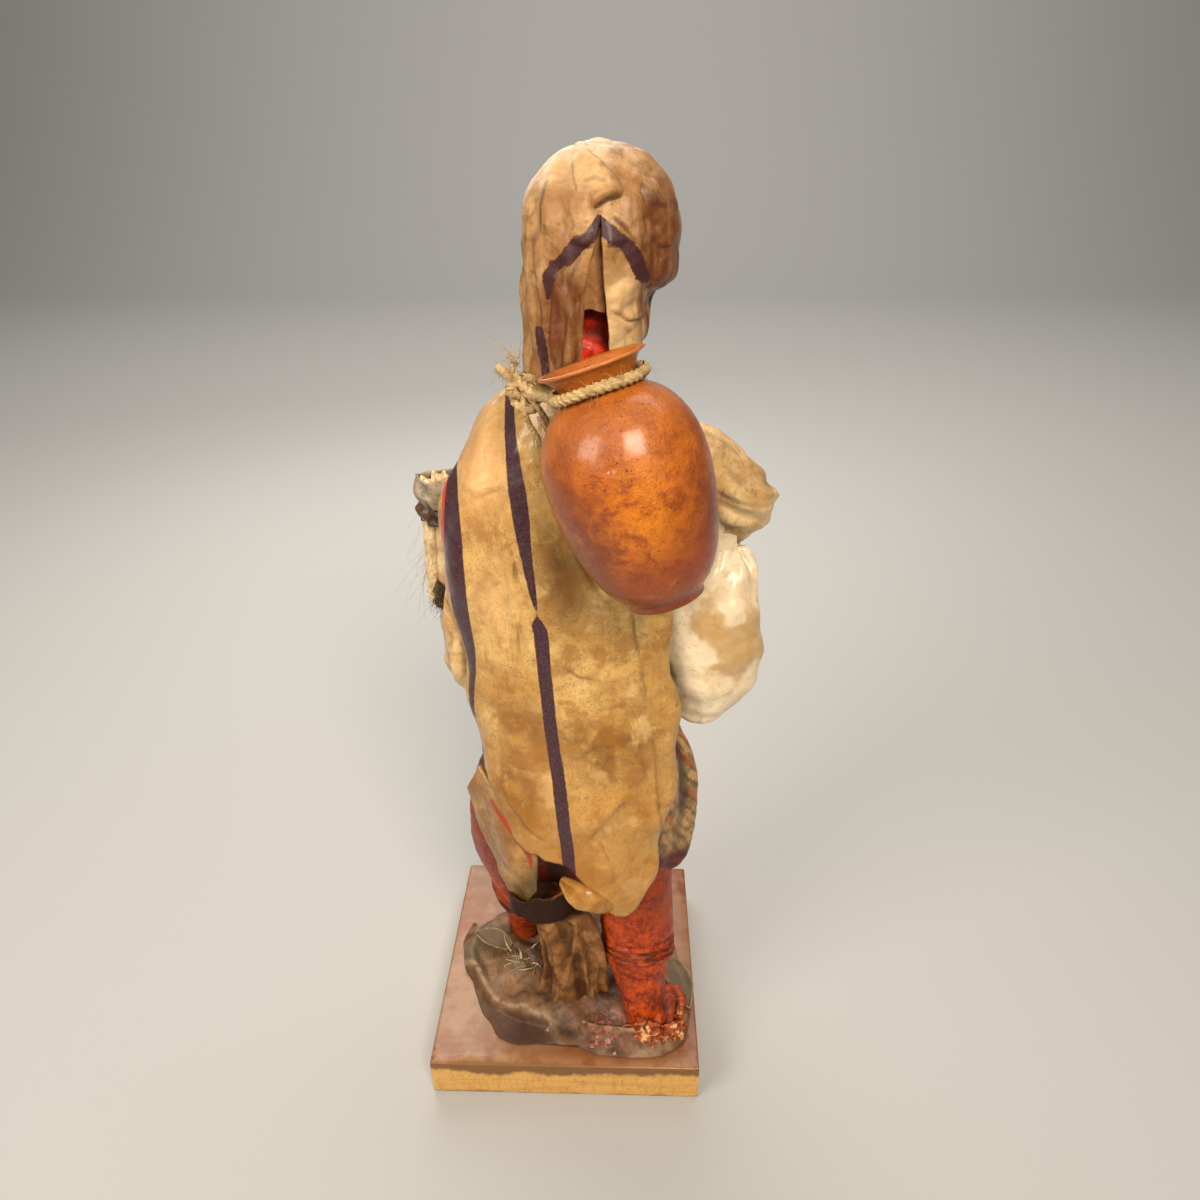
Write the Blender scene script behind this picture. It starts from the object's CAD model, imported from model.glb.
"""A papier-mache water carrier on a wooden base, dressed over its solids. Sizes in the sections are
millimetres in the frame of the solids, +Z up, the figure facing +Y; meshes are made in metres."""

import bpy
import numpy as np
from mathutils import Matrix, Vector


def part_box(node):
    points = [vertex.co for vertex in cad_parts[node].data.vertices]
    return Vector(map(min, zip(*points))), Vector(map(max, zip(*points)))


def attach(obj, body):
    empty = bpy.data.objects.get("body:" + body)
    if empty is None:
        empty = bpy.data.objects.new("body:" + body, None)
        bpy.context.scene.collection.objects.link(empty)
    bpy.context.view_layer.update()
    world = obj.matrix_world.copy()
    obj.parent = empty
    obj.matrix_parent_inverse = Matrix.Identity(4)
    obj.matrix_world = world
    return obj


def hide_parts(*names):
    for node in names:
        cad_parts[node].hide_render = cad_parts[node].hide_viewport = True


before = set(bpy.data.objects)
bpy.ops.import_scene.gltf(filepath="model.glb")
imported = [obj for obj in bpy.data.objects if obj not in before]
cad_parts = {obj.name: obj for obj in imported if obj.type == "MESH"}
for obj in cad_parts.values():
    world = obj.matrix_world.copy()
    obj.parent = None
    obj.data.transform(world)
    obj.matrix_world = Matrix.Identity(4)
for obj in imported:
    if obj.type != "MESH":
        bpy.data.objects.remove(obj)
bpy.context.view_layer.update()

# ---- camera ---------------------------------------------------------------------------------------
# The figure is seen from close behind and above, with a wide lens, so its legs shrink away.
MM = 0.001
CAMERA_AT = np.array([21.0, -229.6, 327.7])
PITCH, YAW, ROLL = np.radians([30.19, -1.85, -0.5])
ahead = np.array([np.sin(YAW) * np.cos(PITCH), np.cos(YAW) * np.cos(PITCH), -np.sin(PITCH)])
level = np.array([np.cos(YAW), -np.sin(YAW), 0.0])
upright = np.cross(level, ahead)
side = np.cos(ROLL) * level + np.sin(ROLL) * upright
top = np.cos(ROLL) * upright - np.sin(ROLL) * level
camera = bpy.data.objects.new("camera", bpy.data.cameras.new("camera"))
bpy.context.scene.collection.objects.link(camera)
stand = np.vstack([np.column_stack([side, top, -ahead, CAMERA_AT * MM]), [0, 0, 0, 1]])
camera.matrix_world = Matrix(stand.tolist())
camera.data.sensor_width = 36
camera.data.lens = 24.9
camera.data.clip_start = 0.01
bpy.context.scene.camera = camera

# ---- studio ---------------------------------------------------------------------------------------
# A pale matt floor that sweeps up behind, and four soft lamps: a key high at the right, a fill at the
# left, a rim from the figure's front and a wash on the sweep.
class Nodes:
    """A material's node tree: add() puts in a node of a type with its settings and inputs."""

    def __init__(self, tree):
        self.tree = tree

    def add(self, kind, out=0, settings=None, **inputs):
        node = self.tree.nodes.new("ShaderNode" + kind)
        for name, value in (settings or {}).items():
            setattr(node, name, value)
        for name, value in inputs.items():
            key = int(name[1:]) if name[1:].isdigit() else name.replace("_", " ")
            self.put(value, node.inputs[key])
        return Socket(self, node.outputs[out])

    def put(self, value, socket):
        """Links a socket to another, or sets its own value."""
        if isinstance(value, Socket):
            self.tree.links.new(value.link, socket)
        elif socket.type == "RGBA" and len(value) == 3:
            socket.default_value = (*value, 1)
        else:
            socket.default_value = value


class Socket:
    """A node's output that Python's operators carry on into Math nodes."""

    def __init__(self, nodes, link):
        self.nodes, self.link = nodes, link

    def math(self, operation, other):
        """This value and another, put through one Math node."""
        return self.nodes.add("Math", settings={"operation": operation}, i0=self, i1=other)

    def capped(self):
        """This value, but never over 1."""
        return self.math("MINIMUM", 1.0)

    def __add__(self, other):
        return self.math("ADD", other)

    __radd__ = __add__

    def __mul__(self, other):
        return self.math("MULTIPLY", other)

    __rmul__ = __mul__

    def __sub__(self, other):
        return self.math("SUBTRACT", other)

    def __rsub__(self, other):
        return (self * -1) + other

    def step(self, low, high):
        """0 below low, 1 above high and a smooth rise between; high under low turns it round."""
        settings = {"interpolation_type": "SMOOTHSTEP"}
        return self.nodes.add("MapRange", settings=settings, i0=self, i1=low, i2=high, i3=0.0, i4=1.0)

    def blend(self, other, amount):
        """This colour, with another laid over it by an amount from 0 to 1."""
        settings = {"data_type": "RGBA"}
        return self.nodes.add("Mix", out=2, settings=settings, i0=amount, i6=self, i7=other)

    def tint(self, other, amount):
        """This colour multiplied by another by an amount from 0 to 1."""
        settings = {"data_type": "RGBA", "blend_type": "MULTIPLY"}
        return self.nodes.add("Mix", out=2, settings=settings, i0=amount, i6=self, i7=other)


class Finish:
    """One material: its noises read object coordinates in millimetres."""

    def __init__(self, name):
        self.material = bpy.data.materials.new(name)
        self.material.use_nodes = True
        tree = self.material.node_tree
        self.shader = tree.nodes["Principled BSDF"]
        self.shader.inputs["Specular IOR Level"].default_value = 0.3
        self.nodes = Nodes(tree)
        place = self.nodes.add("TexCoord", out=3)
        self.place = self.nodes.add("VectorMath", settings={"operation": "SCALE"}, i0=place, Scale=1000.0)

    def moved(self, stretch, shift):
        """The place squeezed by a number for each axis and shifted by one number."""
        start = (shift, shift * 0.7, -shift)
        return self.nodes.add("Mapping", Vector=self.place, Scale=stretch, Location=start)

    def noise(self, size, detail=4.0, rough=0.55, shift=0.0, stretch=(1, 1, 1), warp=0.0):
        """Cloudy noise from 0 to 1 whose lumps are about size across."""
        at = self.moved(stretch, shift * size)
        return self.nodes.add("TexNoise", Vector=at, Scale=1.0 / size, Detail=detail, Roughness=rough,
                              Distortion=warp)

    def creases(self, size, shift=0.0):
        """1 along the straight ridges between the flat facets of crushed paper, 0 away from them."""
        at = self.moved((1, 1, 1), shift * size)
        settings = {"feature": "DISTANCE_TO_EDGE"}
        edge = self.nodes.add("TexVoronoi", settings=settings, Vector=at, Scale=1.0 / size, Randomness=1.0)
        return 1 - edge.step(0.0, 0.16)

    def painted(self, name):
        """A value that the mesh carries at its points."""
        return self.nodes.add("Attribute", out=2, settings={"attribute_name": name})

    def flat(self, colour):
        """One plain colour, to lay others over."""
        return self.nodes.add("Mix", out=2, settings={"data_type": "RGBA"}, i0=0.0, i6=colour, i7=colour)

    def axis(self, number):
        """The place along one axis, in millimetres."""
        return self.nodes.add("SeparateXYZ", out=number, Vector=self.place)

    def bump(self, height, depth):
        """A bump whose height 1 stands depth millimetres proud."""
        return self.nodes.add("Bump", Height=height, Distance=depth * MM, Strength=1.0)

    def done(self, colour, rough, normal, coat=0.0, **constants):
        """Wires the shader: colour, roughness, bump and varnish coat, and its constant sockets."""
        wired = {"Base Color": colour, "Roughness": rough, "Normal": normal, "Coat Weight": coat}
        for name, value in wired.items():
            self.nodes.put(value, self.shader.inputs[name])
        for name, value in constants.items():
            self.shader.inputs[name.replace("_", " ")].default_value = value
        return self.material


floor_finish = Finish("studio_floor")
grain = floor_finish.noise(1.2, detail=2)
floor_finish.done(floor_finish.flat((0.4, 0.4, 0.395)), 0.85, floor_finish.bump(grain, 0.05))
sweep = np.linspace(0, np.pi / 2, 13)
COVE = 0.8
cove = np.column_stack([1.6 + COVE * np.sin(sweep), COVE - COVE * np.cos(sweep)])
run = np.array([[-3.0, 0.0], *cove, [2.4, 3.0]])
edges = [[x, y, z] for y, z in run for x in (-4.0, 4.0)]
floor = bpy.data.objects.new("studio_floor", bpy.data.meshes.new("studio_floor"))
floor.data.from_pydata(edges, [], [(2 * k, 2 * k + 1, 2 * k + 3, 2 * k + 2) for k in range(len(run) - 1)])
floor.data.shade_smooth()
floor.data.materials.append(floor_finish.material)
bpy.context.scene.collection.objects.link(floor)

bpy.context.scene.view_settings.view_transform = "Standard"
world = bpy.data.worlds.new("studio")
bpy.context.scene.world = world
world.use_nodes = True
world.node_tree.nodes["Background"].inputs[0].default_value = (1.0, 0.97, 0.92, 1)
world.node_tree.nodes["Background"].inputs[1].default_value = 0.17
FIGURE, BACKDROP = (5, 0, 160), (0, 2000, 200)
LAMPS = {
    "key": ((190, -520, 700), 0.26, 6.1, (1.0, 0.88, 0.72), FIGURE),
    "fill": ((-460, -420, 560), 0.35, 4.0, (1.0, 0.91, 0.78), FIGURE),
    "rim": ((-160, 520, 560), 0.5, 2.6, (1.0, 0.93, 0.84), FIGURE),
    "wash": ((0, 800, 1500), 1.6, 30.0, (1.0, 0.95, 0.88), BACKDROP),
}
for name, (place, size, power, colour, target) in LAMPS.items():
    lamp = bpy.data.objects.new(name, bpy.data.lights.new(name, "AREA"))
    lamp.data.size = size
    lamp.data.energy = power
    lamp.data.color = colour
    at = np.array(place, float)
    aim = at - np.array(target, float)
    aim /= np.linalg.norm(aim)
    across = np.cross([0.0, 0.0, 1.0], aim)
    across /= np.linalg.norm(across)
    stand = np.vstack([np.column_stack([across, np.cross(aim, across), aim, at * MM]), [0, 0, 0, 1]])
    lamp.matrix_world = Matrix(stand.tolist())
    bpy.context.scene.collection.objects.link(lamp)

# ---- wooden base ----------------------------------------------------------------------------------
# A square softwood board, sawn at its near end. Brown varnish covers its top in uneven streaks, with
# a pinkish haze, and stops in a ragged band a little way down the raw yellow edges.
def smooth(x):
    """A rise from 0 to 1 with level ends."""
    x = np.clip(x, 0, 1)
    return x * x * (3 - 2 * x)


def bell(x, width):
    """A bell of height 1 at 0 that has faded out two widths away."""
    return np.exp(-((x / width) ** 2))


def noise(p, seed=0):
    """Smooth lattice noise from -1 to 1 over points whose lattice step is 1."""
    cell = np.floor(p).astype(np.int64)
    f = p - cell
    f = f * f * (3 - 2 * f)
    total = 0.0
    for corner in np.ndindex(2, 2, 2):
        i = cell + np.array(corner)
        h = (i[..., 0] * 73856093) ^ (i[..., 1] * 19349663) ^ (i[..., 2] * 83492791) ^ (seed * 2654435761)
        h = (h ^ (h >> 13)) * 1274126177
        value = ((h ^ (h >> 16)) & 0xFFFF) / 32767.5 - 1
        weight = np.prod([f[..., a] if corner[a] else 1 - f[..., a] for a in range(3)], axis=0)
        total = total + value * weight
    return total


def crumple(p, size, seed, waves=7):
    """Creased paper, about -1 to 1: triangle waves along random directions, each shifted by slow
    noise, add up to flat facets that meet at nearly straight creases."""
    rng = np.random.default_rng(seed)
    total = 0.0
    for k in range(waves):
        along = rng.normal(size=3)
        along /= np.linalg.norm(along)
        phase = p @ along / (size * rng.uniform(0.8, 1.9)) + rng.random()
        phase = phase + 0.55 * noise(p / (2.4 * size), seed * 31 + k)
        total = total + (np.abs((phase % 1) * 2 - 1) - 0.5) * rng.uniform(0.6, 1.2)
    return total / waves**0.5


def outward(p, loops):
    """Unit normals of a grid of points; rows run up it and columns round it."""
    sideways = np.roll(p, -1, 1) - np.roll(p, 1, 1) if loops else np.gradient(p, axis=1)
    n = np.cross(sideways, np.gradient(p, axis=0))
    return n / np.maximum(np.linalg.norm(n, axis=-1, keepdims=True), 1e-9)


def raised(p, height, loops=True):
    """The grid pushed out along its normals by a height in millimetres."""
    return p + outward(p, loops) * height[..., None]


def grid_faces(rows, columns, loops):
    """Quads of a grid, row by row, closed round when it loops."""
    j = np.arange(columns if loops else columns - 1)
    a = np.arange(rows - 1)[:, None] * columns + j
    b = np.arange(rows - 1)[:, None] * columns + (j + 1) % columns
    return np.stack([a, b, b + columns, a + columns], -1).reshape(-1, 4)


def piece(name, points, faces, material, slot, replaces=(), painted=None, smooth_shaded=True):
    """A mesh from points in millimetres and faces, riding on the figure, with the values that it carries.
    A face whose first corner is doubled is a triangle."""
    made = bpy.data.meshes.new(name)
    flat = np.asarray(points, np.float32).reshape(-1, 3) * MM
    made.from_pydata(flat, [], [f[1:] if f[0] == f[1] else f for f in faces.tolist()])
    for key, values in (painted or {}).items():
        layer = made.attributes.new(key, "FLOAT", "POINT")
        layer.data.foreach_set("value", np.asarray(values, np.float32).ravel())
    if smooth_shaded:
        made.shade_smooth()
    made.materials.append(material)
    thing = bpy.data.objects.new(name, made)
    bpy.context.scene.collection.objects.link(thing)
    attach(thing, "root")
    if replaces:
        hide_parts(*replaces)
    return thing


def fanned(p):
    """A looping grid closed by a fan at each end, which runs to the middle of the end row, as points and
    faces."""
    rows, columns = p.shape[:2]
    points = np.concatenate([p.reshape(-1, 3), p[:1].mean(1), p[-1:].mean(1)])
    j = np.arange(columns)
    after = (j + 1) % columns
    hub = rows * columns + 0 * j
    last = (rows - 1) * columns
    low = np.stack([hub, hub, after, j], -1)
    high = np.stack([hub + 1, hub + 1, last + j, last + after], -1)
    return points, np.concatenate([grid_faces(rows, columns, True), low, high])


def closed_grid(name, p, material, slot, replaces=(), painted=None):
    """A piece from a looping grid with its ends closed."""
    carried = {}
    for key, values in (painted or {}).items():
        ends = [values[0].mean(), values[-1].mean()]
        carried[key] = np.concatenate([np.asarray(values).ravel(), ends])
    return piece(name, *fanned(p), material, slot, replaces, carried)


def base_grid():
    """A rounded square swept up its edge profile, its chipped corners pulled in by noise."""
    low, high = (np.array(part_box("wooden_base")[k]) * 1000 for k in (0, 1))
    half_x, half_y = (high - low)[:2] / 2
    z_top = high[2]
    eased = 1.1
    rise = np.linspace(0, np.pi / 2, 5)
    inset = [*(eased * (1 - np.sin(rise))), *(eased * (1 - np.cos(rise[1:]))), *np.linspace(1.6, 46, 36)]
    height = [*(eased * (1 - np.cos(rise))), *(z_top - eased + eased * np.sin(rise[1:])), *([z_top] * 36)]
    side_rows = np.linspace(eased, z_top - eased, 24)[1:-1]
    inset = np.array([20, 8, *inset[:5], *(0 * side_rows), *inset[5:]])
    height = np.array([0, 0, *height[:5], *side_rows, *height[5:]])
    columns = 320
    a = np.linspace(0, 2 * np.pi, columns + 1)[:-1] + np.pi / columns
    power = 2 / 46
    unit = np.stack([np.sign(np.cos(a)) * np.abs(np.cos(a)) ** power,
                     np.sign(np.sin(a)) * np.abs(np.sin(a)) ** power], -1)
    unit /= np.abs(unit).max(1, keepdims=True) ** 0.86
    x = (half_x - inset)[:, None] * unit[:, 0]
    y = (half_y - inset)[:, None] * unit[:, 1]
    p = np.stack([x, y, np.repeat(height[:, None], x.shape[1], 1)], -1)
    edge = np.minimum(half_x - np.abs(x), half_y - np.abs(y))
    lip = bell(height[:, None] - z_top, 1.4) * bell(edge, 2.2)
    worn = lip * np.clip(noise(p / 5, 3) + 0.5 * noise(p / 1.7, 4), 0, 1)
    p[..., 2] -= 0.7 * worn
    on_top = height[:, None] > z_top - 0.1
    p[..., 2] += 0.16 * noise(p / [34, 3, 30], 5) * on_top * smooth(edge / 3) - 0.16 * on_top
    return p


def base_finish():
    """Varnished board: growth lines along it, brown clouds and haze on top, raw end grain below."""
    f = Finish("varnished_board")
    x, y, z = f.axis(0), f.axis(1), f.axis(2)
    lines = f.noise(3.0, detail=5, stretch=(0.05, 1.2, 1.2), warp=0.4)
    clouds = f.noise(30, detail=5, shift=2.0)
    blots = f.noise(9, detail=5, shift=7.0, rough=0.65)
    top_wood = f.flat((0.24, 0.1, 0.038)).blend((0.13, 0.048, 0.018), lines.step(0.42, 0.7) * 0.3)
    top_wood = top_wood.blend((0.2, 0.05, 0.014), clouds.step(0.44, 0.3) * 0.6)
    top_wood = top_wood.blend((0.15, 0.03, 0.007), blots.step(0.45, 0.66) * x.step(-30, 10) * 0.8)
    haze = (blots * 0.6 + clouds * 0.4).step(0.42, 0.6) * x.step(5, -34) + clouds.step(0.56, 0.7) * 0.25
    top_wood = top_wood.blend((0.34, 0.2, 0.11), haze.capped() * 0.7)
    rays = f.noise(1.6, detail=4, stretch=(1.3, 1, 0.28), shift=1.0)
    rings = f.noise(4.0, detail=3, stretch=(0.12, 1, 1.5), shift=4.0, warp=0.6)
    raw = f.flat((0.68, 0.38, 0.11)).blend((0.4, 0.18, 0.042), rings.step(0.45, 0.62) * 0.3)
    grain = f.noise(0.9, detail=4, rough=0.75, shift=5.0)
    raw = raw.blend((0.3, 0.125, 0.03), (rays * 0.4 + grain * 0.6).step(0.5, 0.64) * 0.5)
    raw = raw.blend((0.78, 0.5, 0.2), grain.step(0.46, 0.34) * 0.5)
    run = f.noise(11, detail=4, stretch=(1, 1, 0.3), shift=9.0)
    band = (z + (run - 0.5) * 12).step(12.4, 15.0)
    edge_stain = raw.blend((0.13, 0.05, 0.018), band * 0.86)
    foot = (z + (blots - 0.5) * 6).step(2.2, 0.2)
    edge_stain = edge_stain.blend((0.2, 0.085, 0.03), foot * 0.6)
    on_top = z.step(18.35, 18.75)
    colour = edge_stain.blend(top_wood, on_top)
    near_edge = y.step(-40.0, -48.5) * on_top
    colour = colour.blend((0.42, 0.22, 0.1), near_edge * blots.step(0.42, 0.6) * 0.6)
    dust = f.noise(0.7, detail=2, shift=3.0)
    colour = colour.tint((0.72, 0.66, 0.6), dust.step(0.55, 0.72) * 0.5)
    rough = 0.62 - on_top * 0.27 + (clouds - 0.5) * 0.3 - band * (1 - on_top) * 0.18
    height = lines * 0.35 * on_top + rays * 0.5 * (1 - on_top) + blots * 0.3
    return f.done(colour, rough, f.bump(height, 0.35), coat=on_top * 0.35, Coat_Roughness=0.22)


closed_grid("board", base_grid(), base_finish(), "base_wood", ["wooden_base"])


# ---- forms shared by the paper pieces ---------------------------------------------------------------
# Paper was soaked, folded and laid over a core while soft. Every piece is a keyed row of sizes, swept
# up a column or along a bent path, with its folds pushed out along the surface.
def between(rows, at):
    """Hermite curve through keyed rows, each a place and its values, worked out at an array of places."""
    rows = np.asarray(rows, float)
    keys, values = rows[:, 0], rows[:, 1:]
    i = np.clip(np.searchsorted(keys, at, "right") - 1, 0, len(keys) - 2)
    lo = np.maximum(np.arange(len(keys)) - 1, 0)
    hi = np.minimum(np.arange(len(keys)) + 1, len(keys) - 1)
    slope = (values[hi] - values[lo]) / (keys[hi] - keys[lo])[:, None]
    span = keys[i + 1] - keys[i]
    t = np.clip((at - keys[i]) / span, 0, 1)[..., None]
    span = span[..., None]
    ends = (2 * t**3 - 3 * t**2 + 1) * values[i] + (3 * t**2 - 2 * t**3) * values[i + 1]
    return ends + span * ((t**3 - 2 * t**2 + t) * slope[i] + (t**3 - t**2) * slope[i + 1])


def curve(points, t):
    """Centripetal Catmull-Rom curve through points, at places from 0 to 1."""
    p = np.asarray(points, float)
    p = np.vstack([2 * p[0] - p[1], p, 2 * p[-1] - p[-2]])
    k = np.clip(np.floor(t * (len(p) - 3)).astype(int), 0, len(p) - 4)
    w = (t * (len(p) - 3) - k)[..., None]
    a, b, c, d = p[k], p[k + 1], p[k + 2], p[k + 3]
    gap = [np.sqrt(np.linalg.norm(m - n, axis=-1, keepdims=True)) + 1e-9 for m, n in ((b, a), (c, b), (d, c))]
    start = ((b - a) / gap[0] - (c - a) / (gap[0] + gap[1]) + (c - b) / gap[1]) * gap[1]
    stop = ((c - b) / gap[1] - (d - b) / (gap[1] + gap[2]) + (d - c) / gap[2]) * gap[1]
    return b + start * w + (3 * (c - b) - 2 * start - stop) * w**2 + (2 * (b - c) + start + stop) * w**3


def column(rows, heights, angles, relief=0.0):
    """Ellipses stacked up: rows hold height, middle x and y, half width and half depth."""
    cx, cy, rx, ry = between(rows, heights).T[:, :, None]
    z = np.repeat(heights[:, None], len(angles), 1)
    return np.stack([cx + (rx + relief) * np.cos(angles), cy + (ry + relief) * np.sin(angles), z], -1)


def limb(points, rows, steps, angles, relief=0.0, hint=(1, 0, 0)):
    """Ellipses carried along a curve: rows hold place, half size across (along hint) and half size up."""
    middle = curve(points, steps)
    ahead = curve(points, np.minimum(steps + 1e-4, 1)) - curve(points, np.maximum(steps - 1e-4, 0))
    ahead /= np.linalg.norm(ahead, axis=-1, keepdims=True)
    hint = np.asarray(hint, float)
    across = hint - ahead * (ahead @ hint)[:, None]
    across /= np.linalg.norm(across, axis=-1, keepdims=True)
    up = np.cross(ahead, across)
    wide, tall = between(rows, steps).T[:, :, None]
    reach = ((wide + relief) * np.cos(angles))[..., None] * across[:, None]
    return middle[:, None] + reach + ((tall + relief) * np.sin(angles))[..., None] * up[:, None]


def turns(count):
    """Angles once round, evenly spaced."""
    return np.arange(count) / count * 2 * np.pi


def unit_grid(rows, columns):
    """Places from 0 to 1 up a grid, as a column, and across it, as a row."""
    return np.linspace(0, 1, rows)[:, None], np.linspace(0, 1, columns)[None]


def values_at(rows, at):
    """The curve through keyed rows, as one array for each of its values."""
    return np.moveaxis(between(rows, at), -1, 0)


def half_turn(angle):
    """An angle brought between minus and plus half a turn."""
    return np.mod(angle + np.pi, 2 * np.pi) - np.pi


def open_grid(name, p, material, slot, thickness, replaces=(), painted=None, keep=None, sewn=None):
    """A sheet: a grid that does not loop, given its thickness both ways by a live Solidify. On its sewn
    rows the last column is the first one."""
    faces = grid_faces(*p.shape[:2], False)
    if sewn is not None:
        number = np.arange(p.shape[0] * p.shape[1]).reshape(p.shape[:2])
        number[sewn, -1] = number[sewn, 0]
        faces = number.ravel()[faces]
    if keep is not None:
        faces = faces[keep.ravel()[faces].all(1)]
    used = np.unique(faces)
    place = np.zeros(p.shape[0] * p.shape[1], int)
    place[used] = np.arange(len(used))
    carried = {key: np.asarray(v).ravel()[used] for key, v in (painted or {}).items()}
    made = piece(name, p.reshape(-1, 3)[used], place[faces], material, slot, replaces, carried)
    wall = made.modifiers.new("paper", "SOLIDIFY")
    wall.thickness = thickness * MM
    wall.offset = 0.0
    wall.use_even_offset = False
    return made


def sunk(height, width):
    """Where a relief dips, from 0 on its ridges to 1 in its deepest creases."""
    return smooth((width - height) / (2 * width))


def paper_look(f, light, mid, stain, cloud=16.0, crease=10.0, fleck=1.1, shift=0.0, dark=0.75):
    """Aged varnished paper: broad light clouds, brown stains that pool in creases, and specks.
    Returns the colour, the fine height and the cloudy value that a piece's own marks build on."""
    clouds = f.noise(cloud, detail=5, shift=shift, warp=0.3)
    mottle = f.noise(cloud * 0.28, detail=6, rough=0.68, shift=shift + 3, warp=0.6)
    fine = f.noise(fleck, detail=3, rough=0.7, shift=shift + 5)
    wander = f.noise(crease * 0.8, detail=2, shift=shift + 8)
    lines = f.creases(crease, shift) * wander.step(0.42, 0.62)
    valley = f.painted("valley")
    colour = f.flat(mid).blend(light, clouds.step(0.4, 0.64))
    colour = colour.blend(stain, mottle.step(0.5, 0.74) * 0.62)
    colour = colour.blend(stain, fine.step(0.54, 0.68) * 0.34)
    deep = tuple(0.38 * c for c in stain)
    colour = colour.blend(deep, (valley.step(0.5, 1.0) * (0.35 + mottle * 0.9)).capped() * dark)
    colour = colour.blend(deep, lines * 0.22)
    height = mottle * 0.55 + fine * 0.22 + clouds * 0.4 - lines * 0.25
    return colour, height, mottle


# ---- clay jug ---------------------------------------------------------------------------------------
# A small thrown jug, open and empty, in orange-brown clay under thick varnish: mottled, pitted, darker
# towards its foot, with a flared rim. It hangs tilted on the figure's back.
JUG_FOOT, JUG_RIM = np.array([32.4, -45.6, 221.3]), np.array([13.2, -36.6, 278.9])
JUG_HEIGHT = np.linalg.norm(JUG_RIM - JUG_FOOT)
jug_up = (JUG_RIM - JUG_FOOT) / JUG_HEIGHT
jug_turn = np.array([jug_up[1], -jug_up[0], 0.0])
jug_turn /= np.linalg.norm(jug_turn)
tilt = np.arccos(jug_up[2])


def of_jug(p):
    """A point of the upright jug, turned about a level line to lean as the jug does."""
    p = np.asarray(p, float)
    k = -jug_turn
    cross, dot = np.cross(k, p), (p @ k)[..., None]
    return JUG_FOOT + p * np.cos(tilt) + cross * np.sin(tilt) + k * dot * (1 - np.cos(tilt))


def jug_grid():
    """The profile, smoothed through keyed radii and heights, spun round with slow dents and pits."""
    h = JUG_HEIGHT
    keys = np.array([[0, 0], [5, 0], [9.2, 0], [9.9, 0.5], [9.9, 1.3], [10.6, 2.6], [12.8, 4.8],
                     [15.4, 9.2], [17.6, 15.6], [19.4, 23.6], [20.2, 31], [20.1, 37], [19.1, 42.6],
                     [17.1, 47.4], [14, 51.4], [10.8, 53.9], [9.2, 56], [9.9, 58], [11.6, 60.2],
                     [13.1, h - 0.5], [13.2, h], [12.6, h + 0.25], [11.9, h], [10.2, 59.8], [8.4, 57.8],
                     [7.3, 55], [9, 52.6], [12, 50.2], [16.6, 43], [17.9, 35], [16.6, 23], [12.6, 10.4],
                     [8.4, 4.8], [4, 3.5], [0, 3.4]])
    reach = np.concatenate([[0], np.cumsum(np.linalg.norm(np.diff(keys, axis=0), axis=1))])
    r, z = between(np.column_stack([reach, keys]), np.linspace(0.4, reach[-1] - 0.4, 176)).T
    a = turns(176)
    p = np.stack([r[:, None] * np.cos(a), r[:, None] * np.sin(a), np.repeat(z[:, None], len(a), 1)], -1)
    rows_outside = 111
    outer = (np.arange(len(r)) < rows_outside)[:, None]
    wall = smooth((z[:, None] - 1) / 4)
    dents = 0.28 * noise(p / 13, 11) + 0.1 * noise(p / 4.5, 12) + 0.015 * np.sin(z * 1.9)[:, None]
    height = outer * wall * dents
    at = of_jug(p)
    for spot, size, depth in (([18.1, -58.9, 261.2], 0.9, 0.8), ([20.9, -60.4, 241.1], 0.7, 0.55),
                              ([24.5, -60.5, 252.0], 0.5, 0.35), ([29.0, -62.0, 235.0], 0.6, 0.4)):
        away = np.linalg.norm(at - np.array(spot), axis=-1)
        height = height - outer * depth * bell(away, size)
        height = height + outer * 0.25 * depth * bell(away - 1.7 * size, 0.5 * size)
    at = raised(at, height)
    x, tall = at[..., 0], at[..., 2]
    gold = bell(x - 26 + 0.1 * (tall - 245), 8) * bell(tall - 246, 22)
    brown = bell(x - 11, 9) * bell(tall - 240, 15) + bell(x - 42, 6) * bell(tall - 252, 14)
    brown = brown + 1.0 * smooth((232 - tall) / 8)
    return at, {"height": np.repeat((z / h)[:, None], len(a), 1), "gold": gold, "brown": np.clip(brown, 0, 1)}


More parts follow.
